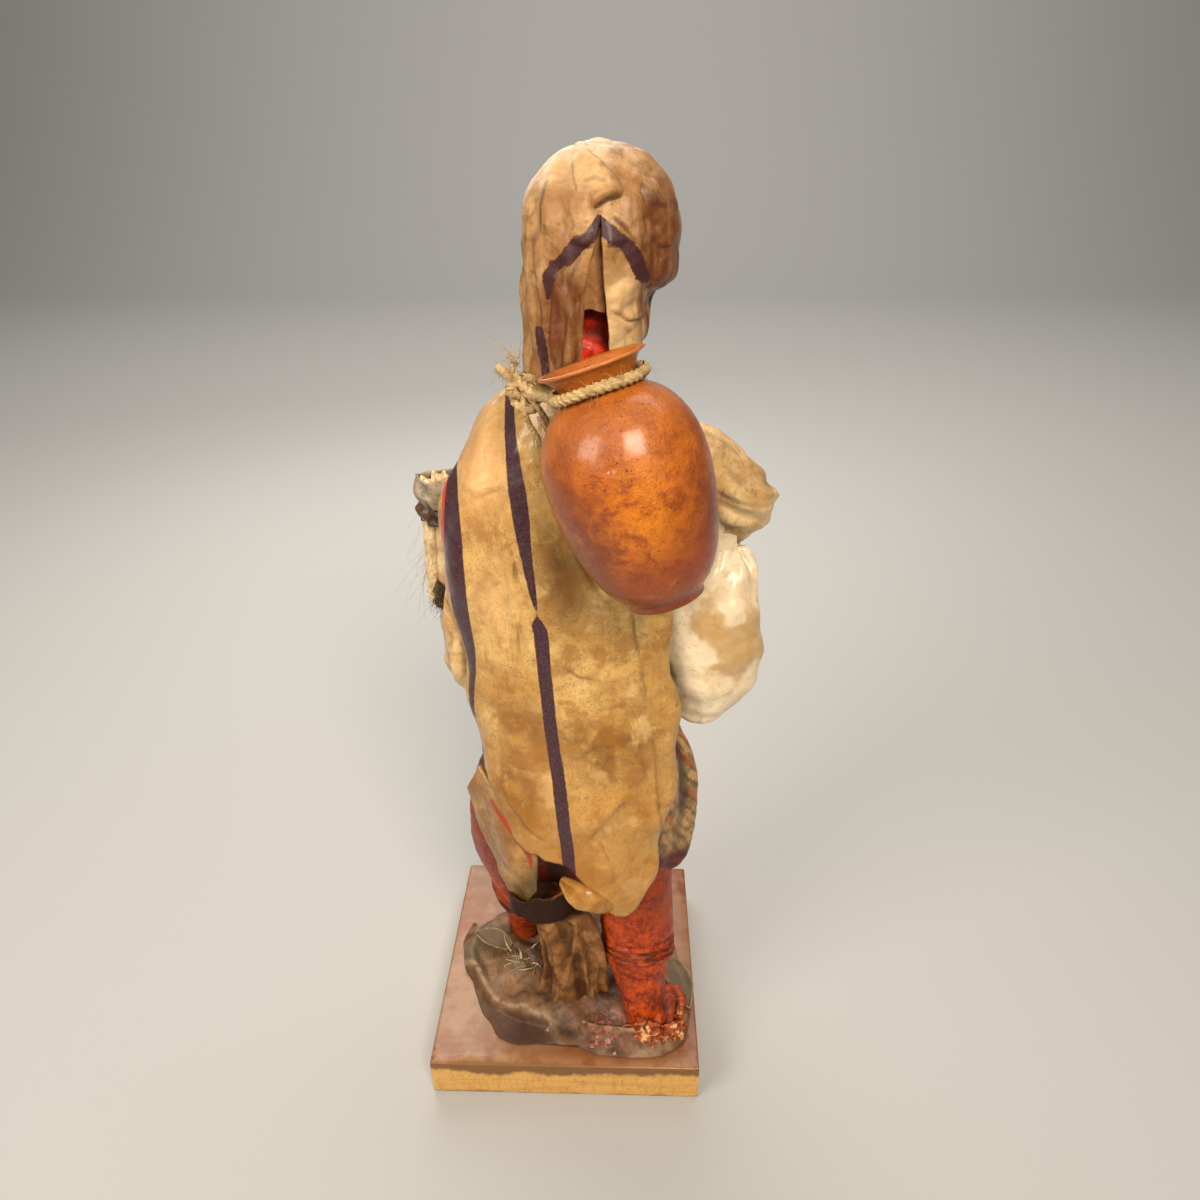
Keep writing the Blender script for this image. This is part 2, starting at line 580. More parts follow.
def jug_finish():
    f = Finish("varnished_clay")
    up = f.painted("height")
    glow = f.noise(15, detail=6, rough=0.66, shift=4.0, warp=0.2)
    patches = f.noise(7, detail=7, rough=0.76, shift=1.5, warp=0.2)
    grains = f.noise(1.3, detail=4, rough=0.7, shift=6.0)
    pits = f.noise(0.55, detail=2, shift=2.0)
    colour = f.flat((0.28, 0.058, 0.003)).blend((0.46, 0.115, 0.005), glow.step(0.42, 0.6))
    colour = colour.blend((0.15, 0.022, 0.002), f.painted("brown") * (patches.step(0.34, 0.6) * 0.7 + 0.25))
    colour = colour.blend((0.6, 0.185, 0.006), f.painted("gold") * patches.step(0.58, 0.42) * 0.9)
    colour = colour.blend((0.17, 0.028, 0.003), patches.step(0.5, 0.66) * 0.7)
    colour = colour.blend((0.2, 0.026, 0.001), (up + (patches - 0.5) * 0.15).step(0.42, 0.14) * 0.75)
    colour = colour.blend((0.56, 0.19, 0.012), patches.step(0.44, 0.3) * 0.4)
    colour = colour.blend((0.46, 0.15, 0.03), (up - 0.62).step(0.0, 0.2) * 0.35)
    colour = colour.blend((0.16, 0.035, 0.01), grains.step(0.6, 0.74) * 0.6)
    colour = colour.blend((0.08, 0.02, 0.008), pits.step(0.7, 0.76) * 0.7)
    rough = 0.3 + (glow - 0.5) * 0.35 + grains.step(0.55, 0.75) * 0.2
    height = grains * 0.7 + patches * 0.6 - pits.step(0.66, 0.76) * 0.7
    return f.done(colour, rough, f.bump(height, 0.6), coat=0.3 + glow * 0.4, Coat_Roughness=0.2)


jug, jug_marks = jug_grid()
closed_grid("jug", jug, jug_finish(), "jug_clay", ["clay_jug"], jug_marks)

# ---- twine ------------------------------------------------------------------------------------------
# Three-strand vegetable twine: once round the jug's neck, a knot at the left shoulder with frayed ends,
# and a run over the shoulder to the right hand. Loose hairs stand off it.
TWINE_RADIUS, STRANDS, RIPPLE = 1.35, 3, 0.3
LOOP_HEIGHT, LOOP_RADIUS = 56.2, 11.3
KNOT = np.array([-4.2, -24.5, 268.5])
FRAYED, STRAY, STRAY_ON_LOOP = 190, 320, 150


def rope(path, radius, pitch, steps, loops=False):
    """A tube round a path whose section has a lobe for each strand, turning by pitch in each millimetre."""
    p = path(np.arange(steps) / (steps if loops else steps - 1))
    ahead = np.roll(p, -1, 0) - np.roll(p, 1, 0) if loops else np.gradient(p, axis=0)
    run = np.concatenate([[0], np.cumsum(np.linalg.norm(np.diff(p, axis=0), axis=1))])
    ahead /= np.linalg.norm(ahead, axis=1, keepdims=True)
    hint = np.array([0.02, 0.31, 0.95])
    across = hint - ahead * (ahead @ hint)[:, None]
    across /= np.linalg.norm(across, axis=1, keepdims=True)
    up = np.cross(ahead, across)
    a = turns(18)
    phase = a[None] - pitch * run[:, None]
    fuzz = np.stack([run[:, None] + 0 * a, 0 * phase, 3 * np.cos(a)[None] + 0 * phase], -1) * 1.7
    lobes = 1 - RIPPLE + RIPPLE * 1.25 * np.abs(np.cos(STRANDS / 2 * phase))
    r = radius * lobes * (1 + 0.07 * noise(fuzz, 5))
    sideways = (r * np.cos(a))[..., None] * across[:, None]
    return p[:, None] + sideways + (r * np.sin(a))[..., None] * up[:, None]


def tuft_faces(count, segments, sides):
    """Quads of many thin tubes, each a stack of rings."""
    starts = np.arange(count)[:, None, None] * (segments + 1) * sides
    base = starts + np.arange(segments)[None, :, None] * sides
    j = np.arange(sides)
    a, b = base + j, base + (j + 1) % sides
    return np.stack([a, b, b + sides, a + sides], -1).reshape(-1, 4)


def hairs(roots, directions, lengths, width, seed, segments=6, droop=0.3, bend=0.5):
    """Fine three-sided fibres that curl away from their roots, as points and faces."""
    rng = np.random.default_rng(seed)
    n = len(roots)
    t = np.linspace(0, 1, segments + 1)[None, :, None]
    swing = rng.normal(size=(n, 1, 3)) * bend
    way = directions[:, None] + swing * t + np.array([0, 0, -droop]) * t**1.5
    spine = roots[:, None] + way * t * np.asarray(lengths)[:, None, None]
    thin = (width * (1 - 0.75 * t[..., 0]))[..., None]
    a = turns(3)
    ring = np.stack([np.cos(a), np.sin(a), 0.6 * np.cos(a + 1)], -1)
    points = spine[:, :, None] + thin[..., None] * ring[None, None]
    return points.reshape(-1, 3), tuft_faces(n, segments, 3)


def merged(parts):
    """Several sets of points and quads as one."""
    points, faces, start = [], [], 0
    for p, q in parts:
        p = p.reshape(-1, 3)
        points.append(p)
        faces.append(np.asarray(q) + start)
        start += len(p)
    return np.concatenate(points), np.concatenate(faces)


def loop_path(t):
    """Round the jug's neck, rising a little where it leaves for the knot."""
    a = np.pi + t * 2 * np.pi
    rise = LOOP_HEIGHT + 0.25 * np.sin(3 * a)
    return of_jug(np.stack([LOOP_RADIUS * np.cos(a), LOOP_RADIUS * np.sin(a), rise], -1))


SLING = [of_jug([-LOOP_RADIUS, 0, LOOP_HEIGHT]), KNOT, [-9.5, -17, 271], [-13, -5, 269], [-10.5, 9, 261],
         [-3, 18.5, 249], [8, 23.6, 235], [17, 27.5, 222]]


def knot_path(t):
    """Three tight turns tied over each other."""
    a = t * 2 * np.pi
    x = 2.6 * np.sin(2 * a) + 0.9 * np.cos(5 * a)
    y = 2.0 * np.sin(3 * a + 0.6)
    z = 3.0 * np.cos(2 * a + 0.4) + 1.1 * np.sin(3 * a)
    return KNOT + np.stack([x, y, z], -1)


TAILS = [([KNOT, [-6.2, -25.4, 271], [-6.9, -24.6, 273.6], [-6.2, -24.6, 275.6]], 0.85),
         ([KNOT, [-4, -27, 264.5], [-3.2, -25.6, 260.5], [-1.2, -25, 256.5]], 0.8),
         ([KNOT, [-1, -27.5, 266], [1.6, -27.5, 261.5], [2.2, -26, 257]], 0.8)]
ropes = [(rope(loop_path, TWINE_RADIUS, 1.15, 250, True), True),
         (rope(lambda t: curve(SLING, t), TWINE_RADIUS * 0.85, 1.3, 260), False),
         (rope(knot_path, 1.25, 1.3, 260, True), True),
         *((rope(lambda t: curve(points, t), radius, 1.6, 36), False) for points, radius in TAILS)]
twine_parts = [(p, grid_faces(*p.shape[:2], loops)) for p, loops in
               [(np.swapaxes(p, 0, 1)[:, ::-1] if loops else p, True) for p, loops in ropes]]
rng = np.random.default_rng(8)
knot_ends = np.array([[-6.2, -24.6, 275.6], [-1.2, -25, 256.5], [2.2, -26, 257], [-6, -26, 271],
                      [0, -27.5, 263]])
which = rng.integers(0, len(knot_ends), FRAYED)
brush = knot_ends[which] + rng.normal(size=(FRAYED, 3)) * [0.7, 0.5, 0.9]
away = knot_ends[which] - KNOT
away = away / np.linalg.norm(away, axis=1, keepdims=True) + rng.normal(size=(FRAYED, 3)) * 0.45
twine_parts.append(hairs(brush, away, rng.uniform(2, 5, FRAYED), 0.11, 3, bend=0.5))
along = rng.random(STRAY)
stray_roots = np.concatenate([loop_path(along[:STRAY_ON_LOOP]), curve(SLING, along[STRAY_ON_LOOP:])])
stray_ways = rng.normal(size=(STRAY, 3))
stray_ways /= np.linalg.norm(stray_ways, axis=1, keepdims=True)
twine_parts.append(hairs(stray_roots + stray_ways * 1.0, stray_ways * 0.7 + rng.normal(size=(STRAY, 3)) * 0.5,
                         rng.uniform(0.8, 3.2, STRAY), 0.08, 4))


def twine_finish():
    f = Finish("twine")
    strands = f.noise(1.0, detail=4, rough=0.7, stretch=(1, 1, 3))
    dirt = f.noise(5, detail=4, shift=3.0)
    colour = f.flat((0.42, 0.27, 0.11)).blend((0.66, 0.49, 0.26), strands.step(0.42, 0.66))
    colour = colour.blend((0.16, 0.085, 0.035), dirt.step(0.52, 0.74) * 0.65)
    return f.done(colour, 0.8 - strands * 0.2, f.bump(strands, 0.25))


twine_points, twine_faces = merged(twine_parts)
piece("twine", twine_points, twine_faces, twine_finish(), "twine", ["jug_cord"])

# ---- head -------------------------------------------------------------------------------------------
# A head of brown-painted papier-mache on a short neck, under the hood. The face is a calm plain one on
# an art primer's proportions: eyes half way up the head, nose a quarter up, mouth a sixth up.
HEAD_X = 14.6
HEAD = [[263, 11.5, -1, 7.6, 7.6], [272, 13, -0.5, 7.1, 7.2], [277, 14, 3.4, 8, 10],
        [282, HEAD_X, 3.2, 10.6, 13], [289, HEAD_X, 2, 12.6, 15.4], [298, HEAD_X, 0.8, 13.6, 16.6],
        [307, HEAD_X, 0, 13.2, 15.8], [314, HEAD_X, 0, 10.6, 12.8], [318.4, HEAD_X, 0, 4.6, 6]]
EYES, NOSE, MOUTH, CHIN, APART = 297.5, 288.6, 284.0, 278.5, 5.4


def face_relief(a, z):
    """Bells for brow, sockets, lids, nose, lips and chin, on the front half of the head."""
    front = np.maximum(np.sin(a), 0)
    x = 13 * np.cos(a)
    side_x = np.abs(x)
    bridge = 1.5 + 1.5 * smooth((EYES - z) / 8)
    nose = 3.4 * bell(x, bridge) * smooth((EYES + 1 - z) / 8) * smooth((z - NOSE + 2.4) / 2.4)
    wings = 0.9 * bell(side_x - 2.4, 1.0) * bell(z - NOSE - 0.4, 1.3)
    holes = -0.8 * bell(side_x - 1.3, 0.6) * bell(z - NOSE + 1.7, 0.6)
    brow = 0.9 * bell(z - EYES - 4.2 + 0.02 * x * x, 1.6) * bell(x, 10)
    sockets = -1.5 * bell(side_x - APART, 2.9) * bell(z - EYES, 2.4)
    balls = 1.0 * bell(side_x - APART, 2.2) * bell(z - EYES, 1.5)
    lid = -0.35 * bell(z - EYES + 0.5 - 0.05 * (side_x - APART) ** 2, 0.3) * bell(side_x - APART, 2.4)
    crease = -0.22 * bell(z - EYES - 1.7 + 0.08 * (side_x - APART) ** 2, 0.35) * bell(side_x - APART, 2.4)
    lips = 0.85 * bell(x, 3.4) * (bell(z - MOUTH - 0.9, 0.8) + 1.1 * bell(z - MOUTH + 1.0, 0.9))
    parting = -0.5 * bell(z - MOUTH + 0.02 * x * x, 0.32) * bell(x, 3.4)
    groove = -0.25 * bell(x, 0.7) * bell(z - MOUTH - 2.6, 1.1)
    chin = 1.1 * bell(x, 3.4) * bell(z - CHIN, 2)
    cheeks = 0.7 * bell(side_x - 7.2, 3) * bell(z - NOSE - 1.5, 3.4)
    soft = nose + wings + holes + brow + sockets + balls + lid
    soft = soft + crease + lips + parting + groove + chin + cheeks
    return front * soft


a = turns(180)
a = a + 0.5 * np.cos(a)
z = np.linspace(HEAD[0][0], HEAD[-1][0], 130)
relief = face_relief(a[None], z[:, None])
head = column(HEAD, z, a, relief)
lumps = 0.18 * noise(head / 5, 40) + 0.08 * noise(head / 1.8, 41)
head = raised(head, lumps)
x = head[..., 0] - HEAD_X
front = head[..., 1] > 4
over_lid = head[..., 2] - EYES + 0.5 - 0.05 * (np.abs(x) - APART) ** 2
eye_line = bell(over_lid, 0.36) * bell(np.abs(x) - APART, 2.3)
brow_line = bell(head[..., 2] - EYES - 3.9 + 0.05 * (np.abs(x) - 4) ** 2, 0.55) * bell(np.abs(x) - 5.2, 3.0)
lip_tint = bell(x, 3.1) * bell(head[..., 2] - MOUTH, 1.5)


def skin_finish():
    f = Finish("painted_skin")
    clouds = f.noise(7, detail=5, shift=2.0)
    patina = f.noise(2.4, detail=5, rough=0.7, shift=4.0)
    colour = f.flat((0.27, 0.125, 0.058)).blend((0.39, 0.2, 0.1), clouds.step(0.42, 0.62))
    colour = colour.blend((0.1, 0.042, 0.02), patina.step(0.52, 0.76) * 0.6)
    colour = colour.blend((0.22, 0.055, 0.035), f.painted("lips") * 0.6)
    colour = colour.blend((0.03, 0.014, 0.01), f.painted("line") * 0.85)
    colour = colour.blend((0.09, 0.035, 0.018), f.painted("valley").step(0.3, 1.0) * 0.7)
    return f.done(colour, 0.42 + (clouds - 0.5) * 0.3, f.bump(patina, 0.16), coat=0.25, Coat_Roughness=0.25)


skin = skin_finish()
hollow = smooth(-relief / 1.6)
drawn = np.clip(eye_line + 0.8 * brow_line, 0, 1) * front
closed_grid("head_and_neck", head, skin, "skin_paper", ["head"],
            {"line": drawn, "lips": lip_tint * front, "valley": hollow})

# ---- hood -------------------------------------------------------------------------------------------
# A square of thick paper pulled over the head while wet: open round the face, lapped at the back with a
# slit that shows the lining, tucked under the right jaw, and falling to the shoulder at the left.
HOOD = [[268.2, 5.4, -6, 10.4, 12.4], [272, 7.4, -4.8, 12.2, 13.9], [277, 10.6, -3.4, 15.2, 15.6],
        [285, 11.6, -1.6, 16.4, 17.6], [290, 12.6, -0.8, 17.4, 18.8], [297, 14.5, -0.2, 19.3, 19.8],
        [304, HEAD_X, 0, 19.7, 19.9], [311, HEAD_X, 0.4, 18, 18.2], [316.5, HEAD_X, 0.8, 14.4, 14.4],
        [320.5, HEAD_X, 1.4, 9.4, 9.4], [322.8, HEAD_X, 1.8, 0.4, 0.4]]
SLIT = [[262, 13.4, 4.0], [280, 13.5, 3.2], [289, 13.5, 2.6], [295, 13.8, 1.9], [300.6, 14.5, 1.1],
        [305, 15, 0.35], [308, 15.2, 0.02], [323, 15.2, 0.01]]
SLIT_END, SEWN = 306, 308
OPENINGS = [[HEAD_X, 298.5, 13.0, 16.0], [10.5, 276.0, 7.6, 16.0]]
BAND_LEFT = [[14.5, 307.6], [12.4, 303.4], [9.5, 301.3], [4.8, 297.2], [2.9, 294], [2.3, 289.6]]
BAND_RIGHT = [[14.9, 307.2], [18, 304], [21, 301.2], [23.6, 298], [25.6, 294]]
HOOD_FOLDS = [([[12.4, 309.6], [16, 311.6], [20.4, 312.8]], 2.2, 3.4, 0.5),
              ([[10.2, 314.2], [14, 315.2], [17.8, 313.4]], 0.8, 3, 0.6),
              ([[20.4, 312.6], [17, 314.6], [13.4, 317.6], [9.4, 320.6]], 1.1, 2.6, 0.5),
              ([[9.4, 319.4], [9.9, 315], [11.2, 310.6]], 0.8, 2.2, 0.5),
              ([[24, 314], [27, 310.6], [31, 309]], 0.9, 3, 0.6),
              ([[26, 305], [29, 301.6], [33, 301]], 0.8, 2.6, 0.6),
              ([[17.5, 309], [21.5, 305.6], [24.6, 301]], 0.6, 3, 0.6),
              ([[8.3, 303.8], [11, 302.4], [13.6, 302.2]], 1.0, 2.4, 0.6),
              ([[15.6, 302.6], [18.5, 302.4], [21.5, 303.6]], 0.8, 2.4, 0.6),
              ([[-0.5, 304], [0.3, 296], [1.3, 288], [1.2, 280], [0.4, 272]], 1.1, 2.4, 0.5),
              ([[-5, 302], [-5.2, 290], [-4.8, 278]], 0.8, 2, 0.5),
              ([[-2.6, 307], [-2.3, 295], [-1.9, 282]], 0.8, 1.8, 0.5),
              ([[5.4, 294.4], [3.5, 289.5], [3, 282], [2.8, 272]], 1.0, 2.6, 0.5),
              ([[10, 290.5], [7.8, 284], [6.8, 277], [6, 270]], 0.9, 2.6, 0.6),
              ([[11.6, 300], [9.2, 294.5], [7.7, 288]], 0.6, 3, 0.7),
              ([[17, 288.8], [21, 285.4], [26.6, 285.2]], 1.4, 3.4, 0.7),
              ([[20, 284.5], [22.4, 280.5], [22.8, 276.5]], 1.0, 3, 0.6),
              ([[31.4, 301], [28.4, 295], [26.4, 290]], 1.2, 3, 0.6),
              ([[22, 297], [20, 292], [18.6, 287]], 0.5, 4, 0.8),
              ([[24.5, 316], [26.5, 309], [30, 304.5]], 0.5, 4, 0.8),
              ([[4.5, 316], [2.2, 309], [1.4, 303]], 0.6, 3.4, 0.7)]


def fold(x, width, lean=0.35):
    """A crease: a steep side and a long side, 1 at the crease and 0 a width away."""
    left = np.clip(1 + x / (width * lean), 0, 1)
    right = np.clip(1 - x / width, 0, 1)
    return np.minimum(left, right)


def line_over(p, path):
    """How far each point is from a line drawn over the back through (x, z) points: its signed distance,
    positive above or left of the line's run, and a fade from 1 along it to 0 at its ends."""
    q = p[..., [0, 2]]
    path = np.asarray(path, float)
    steps = np.linalg.norm(np.diff(path, axis=0), axis=1)
    before = np.concatenate([[0], np.cumsum(steps)])
    nearest, side, along = np.full(q.shape[:2], 1e9), np.zeros(q.shape[:2]), np.zeros(q.shape[:2])
    for a, b, start, length in zip(path, path[1:], before, steps):
        way = (b - a) / length
        off = q - a
        t = np.clip(off @ way, 0, length)
        gap = np.linalg.norm(off - t[..., None] * way, axis=-1)
        turn = np.sign(way[0] * off[..., 1] - way[1] * off[..., 0])
        closer = gap < nearest
        nearest, side = np.where(closer, gap, nearest), np.where(closer, turn, side)
        along = np.where(closer, start + t, along)
    ends = smooth(along / (0.25 * before[-1])) * smooth((before[-1] - along) / (0.25 * before[-1]))
    return nearest * side, ends


def lap(p, path, rise, reach, steep=0.7):
    """A fold lapped over: full height at the line, a steep drop on its minus side, a long ease on its plus
    side. Returns the height and the shadow under its lip."""
    d, ends = line_over(p, path)
    up = np.where(d > 0, np.exp(-d / reach), np.exp(-((d / steep) ** 2)))
    return rise * up * ends, bell(d + steep, steep) * ends


def hood_grid():
    """Rows up the hood and columns from the slit's right edge round the front to its left edge."""
    rows, columns = 156, 180
    v = np.linspace(0, 1, rows)
    t = v[:, None]
    u = np.linspace(0, 1, columns)[None]
    foot, crown = HOOD[0][0], HOOD[-1][0]
    z = foot + (crown - foot) * np.sin(t * np.pi / 2) ** 0.9
    level = z[:, 0]
    z = z + 7.3 * np.clip((SLIT_END - z) / 37.8, 0, 1) ** 2 * smooth((0.45 - u) / 0.12)
    cx, cy, rx, ry = values_at(HOOD, z)
    middle, half = values_at(SLIT, z)
    right = -np.arccos(np.clip((middle + half - cx) / rx, -1, 1))
    left = -np.arccos(np.clip((middle - half - cx) / rx, -1, 1))
    mid = -np.pi / 2 + 0 * right
    close = smooth((z - 317) / 5)
    right, left = right * (1 - close) + mid * close, left * (1 - close) + mid * close
    a = right + u * (left + 2 * np.pi - right)
    p = np.stack([cx + rx * np.cos(a), cy + ry * np.sin(a), z], -1)
    b = np.mod(a, 2 * np.pi)
    x_mid = p[..., 0]
    low = smooth((312 - z) / 30)
    west = bell(np.cos(b) + 0.75, 0.6)
    height = west * low * (0.9 * np.sin(9 * b + 0.04 * z) + 0.5 * np.abs(np.sin(11 * b - 0.03 * z + 1)))
    for at, width, lean in ((2.75, 0.2, 0.3), (3.15, 0.16, 0.4)):
        near = b - at - 0.003 * (z - 290) - 0.02 * np.sin(z / 6)
        height = height + 0.8 * low * (fold(near, width, lean) - 0.35)
    jaw = bell(b - 5.95, 0.5)
    height = height + 1.5 * bell(z - 294, 3.2) * jaw - 1.5 * bell(z - 287, 3) * bell(b - 5.9, 0.6)
    pucker = bell(b - 5.8, 0.4) * bell(z - 291, 6)
    height = height + 0.5 * pucker * crumple(p, 5, 50)
    back = smooth(-np.sin(b) * 3)
    dark = 0 * height
    for path, up, reach, steep in HOOD_FOLDS:
        rise, under = lap(p, path, up, reach, steep)
        height, dark = height + rise * back, dark + under * back
    d, ends = line_over(p, [[8.4, 321.6], [10.6, 320], [12.8, 318], [15.4, 315.4]])
    height = height + 1.0 * bell(d, 1.5) * smooth(1.6 * ends) * smooth((322.4 - z) / 1.5)
    flap = bell(p[..., 0] - 20.5, 4.5) * smooth((296 - z) / 7) * back
    height = height + 1.5 * flap + 1.2 * flap * crumple(p, 4.6, 51)
    facets = crumple(p, 8, 52, 3) * (0.35 + 0.65 * smooth((321 - z) / 8))
    height = height + 0.85 * facets + (0.12 + 0.12 * smooth((x_mid - 14) / 6)) * crumple(p, 3.2, 53, 4)
    height = height + 0.25 * crumple(p * [1, 1, 0.35], 5, 54) * west
    seam = np.minimum(u, 1 - u) * (left + 2 * np.pi - right) * 18
    height = height + 0.5 * smooth((SLIT_END - z) / 6) * (u < 0.5) * bell(seam, 4)
    q = raised(p, height, False)
    closed = smooth((level[:, None] - SLIT_END) / 2)
    joined = 0.5 * (q[:, 0] + q[:, -1])
    q[:, 0] += (joined - q[:, 0]) * closed
    q[:, -1] += (joined - q[:, -1]) * closed
    x, y, zz = q[..., 0], q[..., 1], q[..., 2]
    oval, throat = (((x - at_x) / half_x) ** 2 + ((zz - at_z) / half_z) ** 2
                    for at_x, at_z, half_x, half_z in OPENINGS)
    away = np.minimum(oval, throat)
    keep = (away > 1) | (y < 4)
    near = keep & (away < 1.16) & (y > 4)
    pull = np.where(near, np.sqrt(1.0 / np.maximum(away, 1e-6)), 1)
    use_oval = oval < throat
    for axis, middle in zip((0, 2), zip(*OPENINGS)):
        centre = np.where(use_oval, middle[0], middle[1])
        edge = centre + (q[..., axis] - centre) * pull
        q[..., axis] = np.where(near & (away < 1.07), edge, q[..., axis])
    left_arm, right_arm = line_over(q, BAND_LEFT)[0], line_over(q, BAND_RIGHT)[0]
    taper = 1.3 * smooth((294 - zz) / 5) + 1.2 * smooth((zz - 305) / 3)
    band = np.minimum(np.abs(left_arm), np.abs(right_arm)) - 1.6 - 0.45 * np.sin(0.9 * x) + taper
    low_band = np.abs(line_over(q, [[-0.4, 281], [0.4, 275], [1.4, 268]])[0]) - 1.2
    band = np.where(y < 0, np.minimum(band, low_band), 9)
    cream = flap + 0.7 * smooth((300 - zz) / 8) * smooth((x - 15) / 4) * back * smooth((27 - x) / 3)
    cream = cream + 0.35 * smooth((zz - 311) / 5) * smooth((20 - x) / 6) * back
    brown = bell(b - 6.0, 0.75) * bell(zz - 291, 11) + 0.5 * bell(b - 4.2, 0.5) * smooth((298 - zz) / 10)
    brown = brown + back * (bell(x - 7, 4.2) * smooth((299 - zz) / 7)
                            + 0.8 * bell(x - 29, 5) * smooth((312 - zz) / 5))
    brown = brown + 0.7 * back * smooth((x - 21) / 6) * bell(zz - 306, 12)
    violet = bell(x, 2.2) * bell(zz - 302, 2.6) + bell(x - 27.8, 1.6) * bell(zz - 310.6, 2.2)
    marks = {"valley": np.clip(0.55 * sunk(height, 1.8) + dark, 0, 1), "band": band,
             "cream": np.clip(cream, 0, 1), "brown": np.clip(brown, 0, 1), "violet": back * violet}
    return q, keep, level > SEWN, marks


def hood_finish():
    f = Finish("hood_paper")
    light, mid, stain = (0.46, 0.265, 0.108), (0.29, 0.135, 0.04), (0.11, 0.036, 0.008)
    colour, height, mottle = paper_look(f, light, mid, stain, cloud=9, crease=6, shift=1.0)
    colour = colour.blend((0.74, 0.5, 0.24), f.painted("cream") * (0.5 + mottle * 0.6))
    streak = f.noise(3.0, detail=5, stretch=(1, 1, 0.22), shift=5.0)
    colour = colour.blend((0.115, 0.028, 0.004), f.painted("brown") * (streak.step(0.3, 0.62) * 0.7 + 0.28))
    colour = colour.blend((0.1, 0.03, 0.02), f.painted("violet") * (streak.step(0.4, 0.6) * 0.8))
    frayed = f.painted("band") + (f.noise(1.5, detail=4, rough=0.7, shift=9.0) - 0.5) * 1.6
    dye = frayed.step(0.2, -0.12)
    worn = f.noise(1.6, detail=5, rough=0.8, shift=2.0)
    colour = colour.blend((0.05, 0.013, 0.014), dye * (1 - worn.step(0.6, 0.74) * 0.5))
    rough = 0.46 + (mottle - 0.5) * 0.4
    return f.done(colour, rough, f.bump(height + streak * 0.3, 0.45), coat=mottle * 0.2, Coat_Roughness=0.2)


hood, hood_keep, hood_sewn, hood_marks = hood_grid()
hood_paper = hood_finish()
open_grid("paper_hood", hood, hood_paper, "hood_paper", 1.1, ["hood"], hood_marks, hood_keep, hood_sewn)


def lining_grid():
    """A narrow strip of lining that hangs just inside the slit, lapped from the left."""
    v, u = unit_grid(70, 36)
    z = 286.5 + 21 * v + 0.5 * np.sin(5 * u)
    low = 1 - v
    x = 14.6 - 4.6 * low + u * (0.9 + 5.2 * low)
    y = -17.6 + 1.6 * smooth((v - 0.85) / 0.15) + 0.9 * u * u * low - 1.0 * low * (1 - u) ** 2
    p = np.stack([x, y, z], -1)
    height = 0.3 * crumple(p, 5, 57)
    return raised(p, height, False), sunk(height, 0.7)


def lining_finish():
    f = Finish("lining_paper")
    light, mid, stain = (0.4, 0.2, 0.075), (0.29, 0.125, 0.04), (0.1, 0.036, 0.01)
    colour, height, mottle = paper_look(f, light, mid, stain, 8, 6, shift=4.0)
    return f.done(colour, 0.55 + (mottle - 0.5) * 0.3, f.bump(height, 0.25), coat=0.15)


lining, lining_valley = lining_grid()
open_grid("hood_lining", lining, lining_finish(), "hood_paper", 0.6, painted={"valley": lining_valley})

# ---- red collar -------------------------------------------------------------------------------------
# A strip of red paper stood up round the back of the neck, its top folded over where it shows.
def collar_grid():
    """A strip bent most of the way round the neck, standing proud where its top is folded over."""
    v, u = unit_grid(34, 110)
    a = -np.pi * 1.28 + u * np.pi * 1.56 + 0 * v
    top_z = 287.5 - 10 * (0.5 + 0.5 * np.sin(a)) - 1.5 * np.cos(3 * a)
    r = 10.2 + 0.8 * u + 0.5 * np.sin(5 * a) * v
    p = np.stack([11.8 + r * np.cos(a), -1.8 + r * np.sin(a), 266 + (top_z - 266) * v], -1)
    past_fold = p[..., 2] - 277 + 0.35 * (p[..., 0] - 13)
    height = 1.3 * smooth(-past_fold / 0.9) * bell(a + np.pi / 2, 0.9) + 0.6 * crumple(p, 5, 60)
    return raised(p, height, False), sunk(height - 0.3, 0.8)


def red_look(name, shift=0.0, bright=(0.46, 0.056, 0.005), deep=(0.17, 0.017, 0.003)):
    """Red-orange paper, mottled by the brown varnish over it."""
    f = Finish(name)
    glow = f.noise(7, detail=6, rough=0.66, shift=shift, warp=0.7)
    spots = f.noise(1.5, detail=5, rough=0.75, shift=shift + 3)
    grains = f.noise(0.8, detail=3, rough=0.7, shift=shift + 6)
    colour = f.flat(deep).blend(bright, glow.step(0.38, 0.62))
    fleck = (min(1.0, 1.35 * bright[0]), 1.5 * bright[1] + 0.012, 1.3 * bright[2])
    colour = colour.blend(fleck, spots.step(0.52, 0.66) * 0.8)
    colour = colour.blend((0.06, 0.01, 0.004), spots.step(0.48, 0.34) * 0.75)
    colour = colour.blend((0.04, 0.008, 0.004), f.painted("valley").step(0.45, 1.0) * 0.85)
    colour = colour.blend((0.07, 0.02, 0.01), grains.step(0.62, 0.74) * 0.5)
    return f, colour, spots * 0.6 + grains * 0.25 + glow * 0.4, glow


f, colour, height, glow = red_look("collar_paper", 2.0, (0.85, 0.034, 0.006), (0.6, 0.02, 0.004))
collar_paper = f.done(colour, 0.52 + (glow - 0.5) * 0.3, f.bump(height, 0.25), coat=0.06)
collar, collar_valley = collar_grid()
open_grid("collar", collar, collar_paper, "collar_paper", 0.9, ["red_collar"], {"valley": collar_valley})

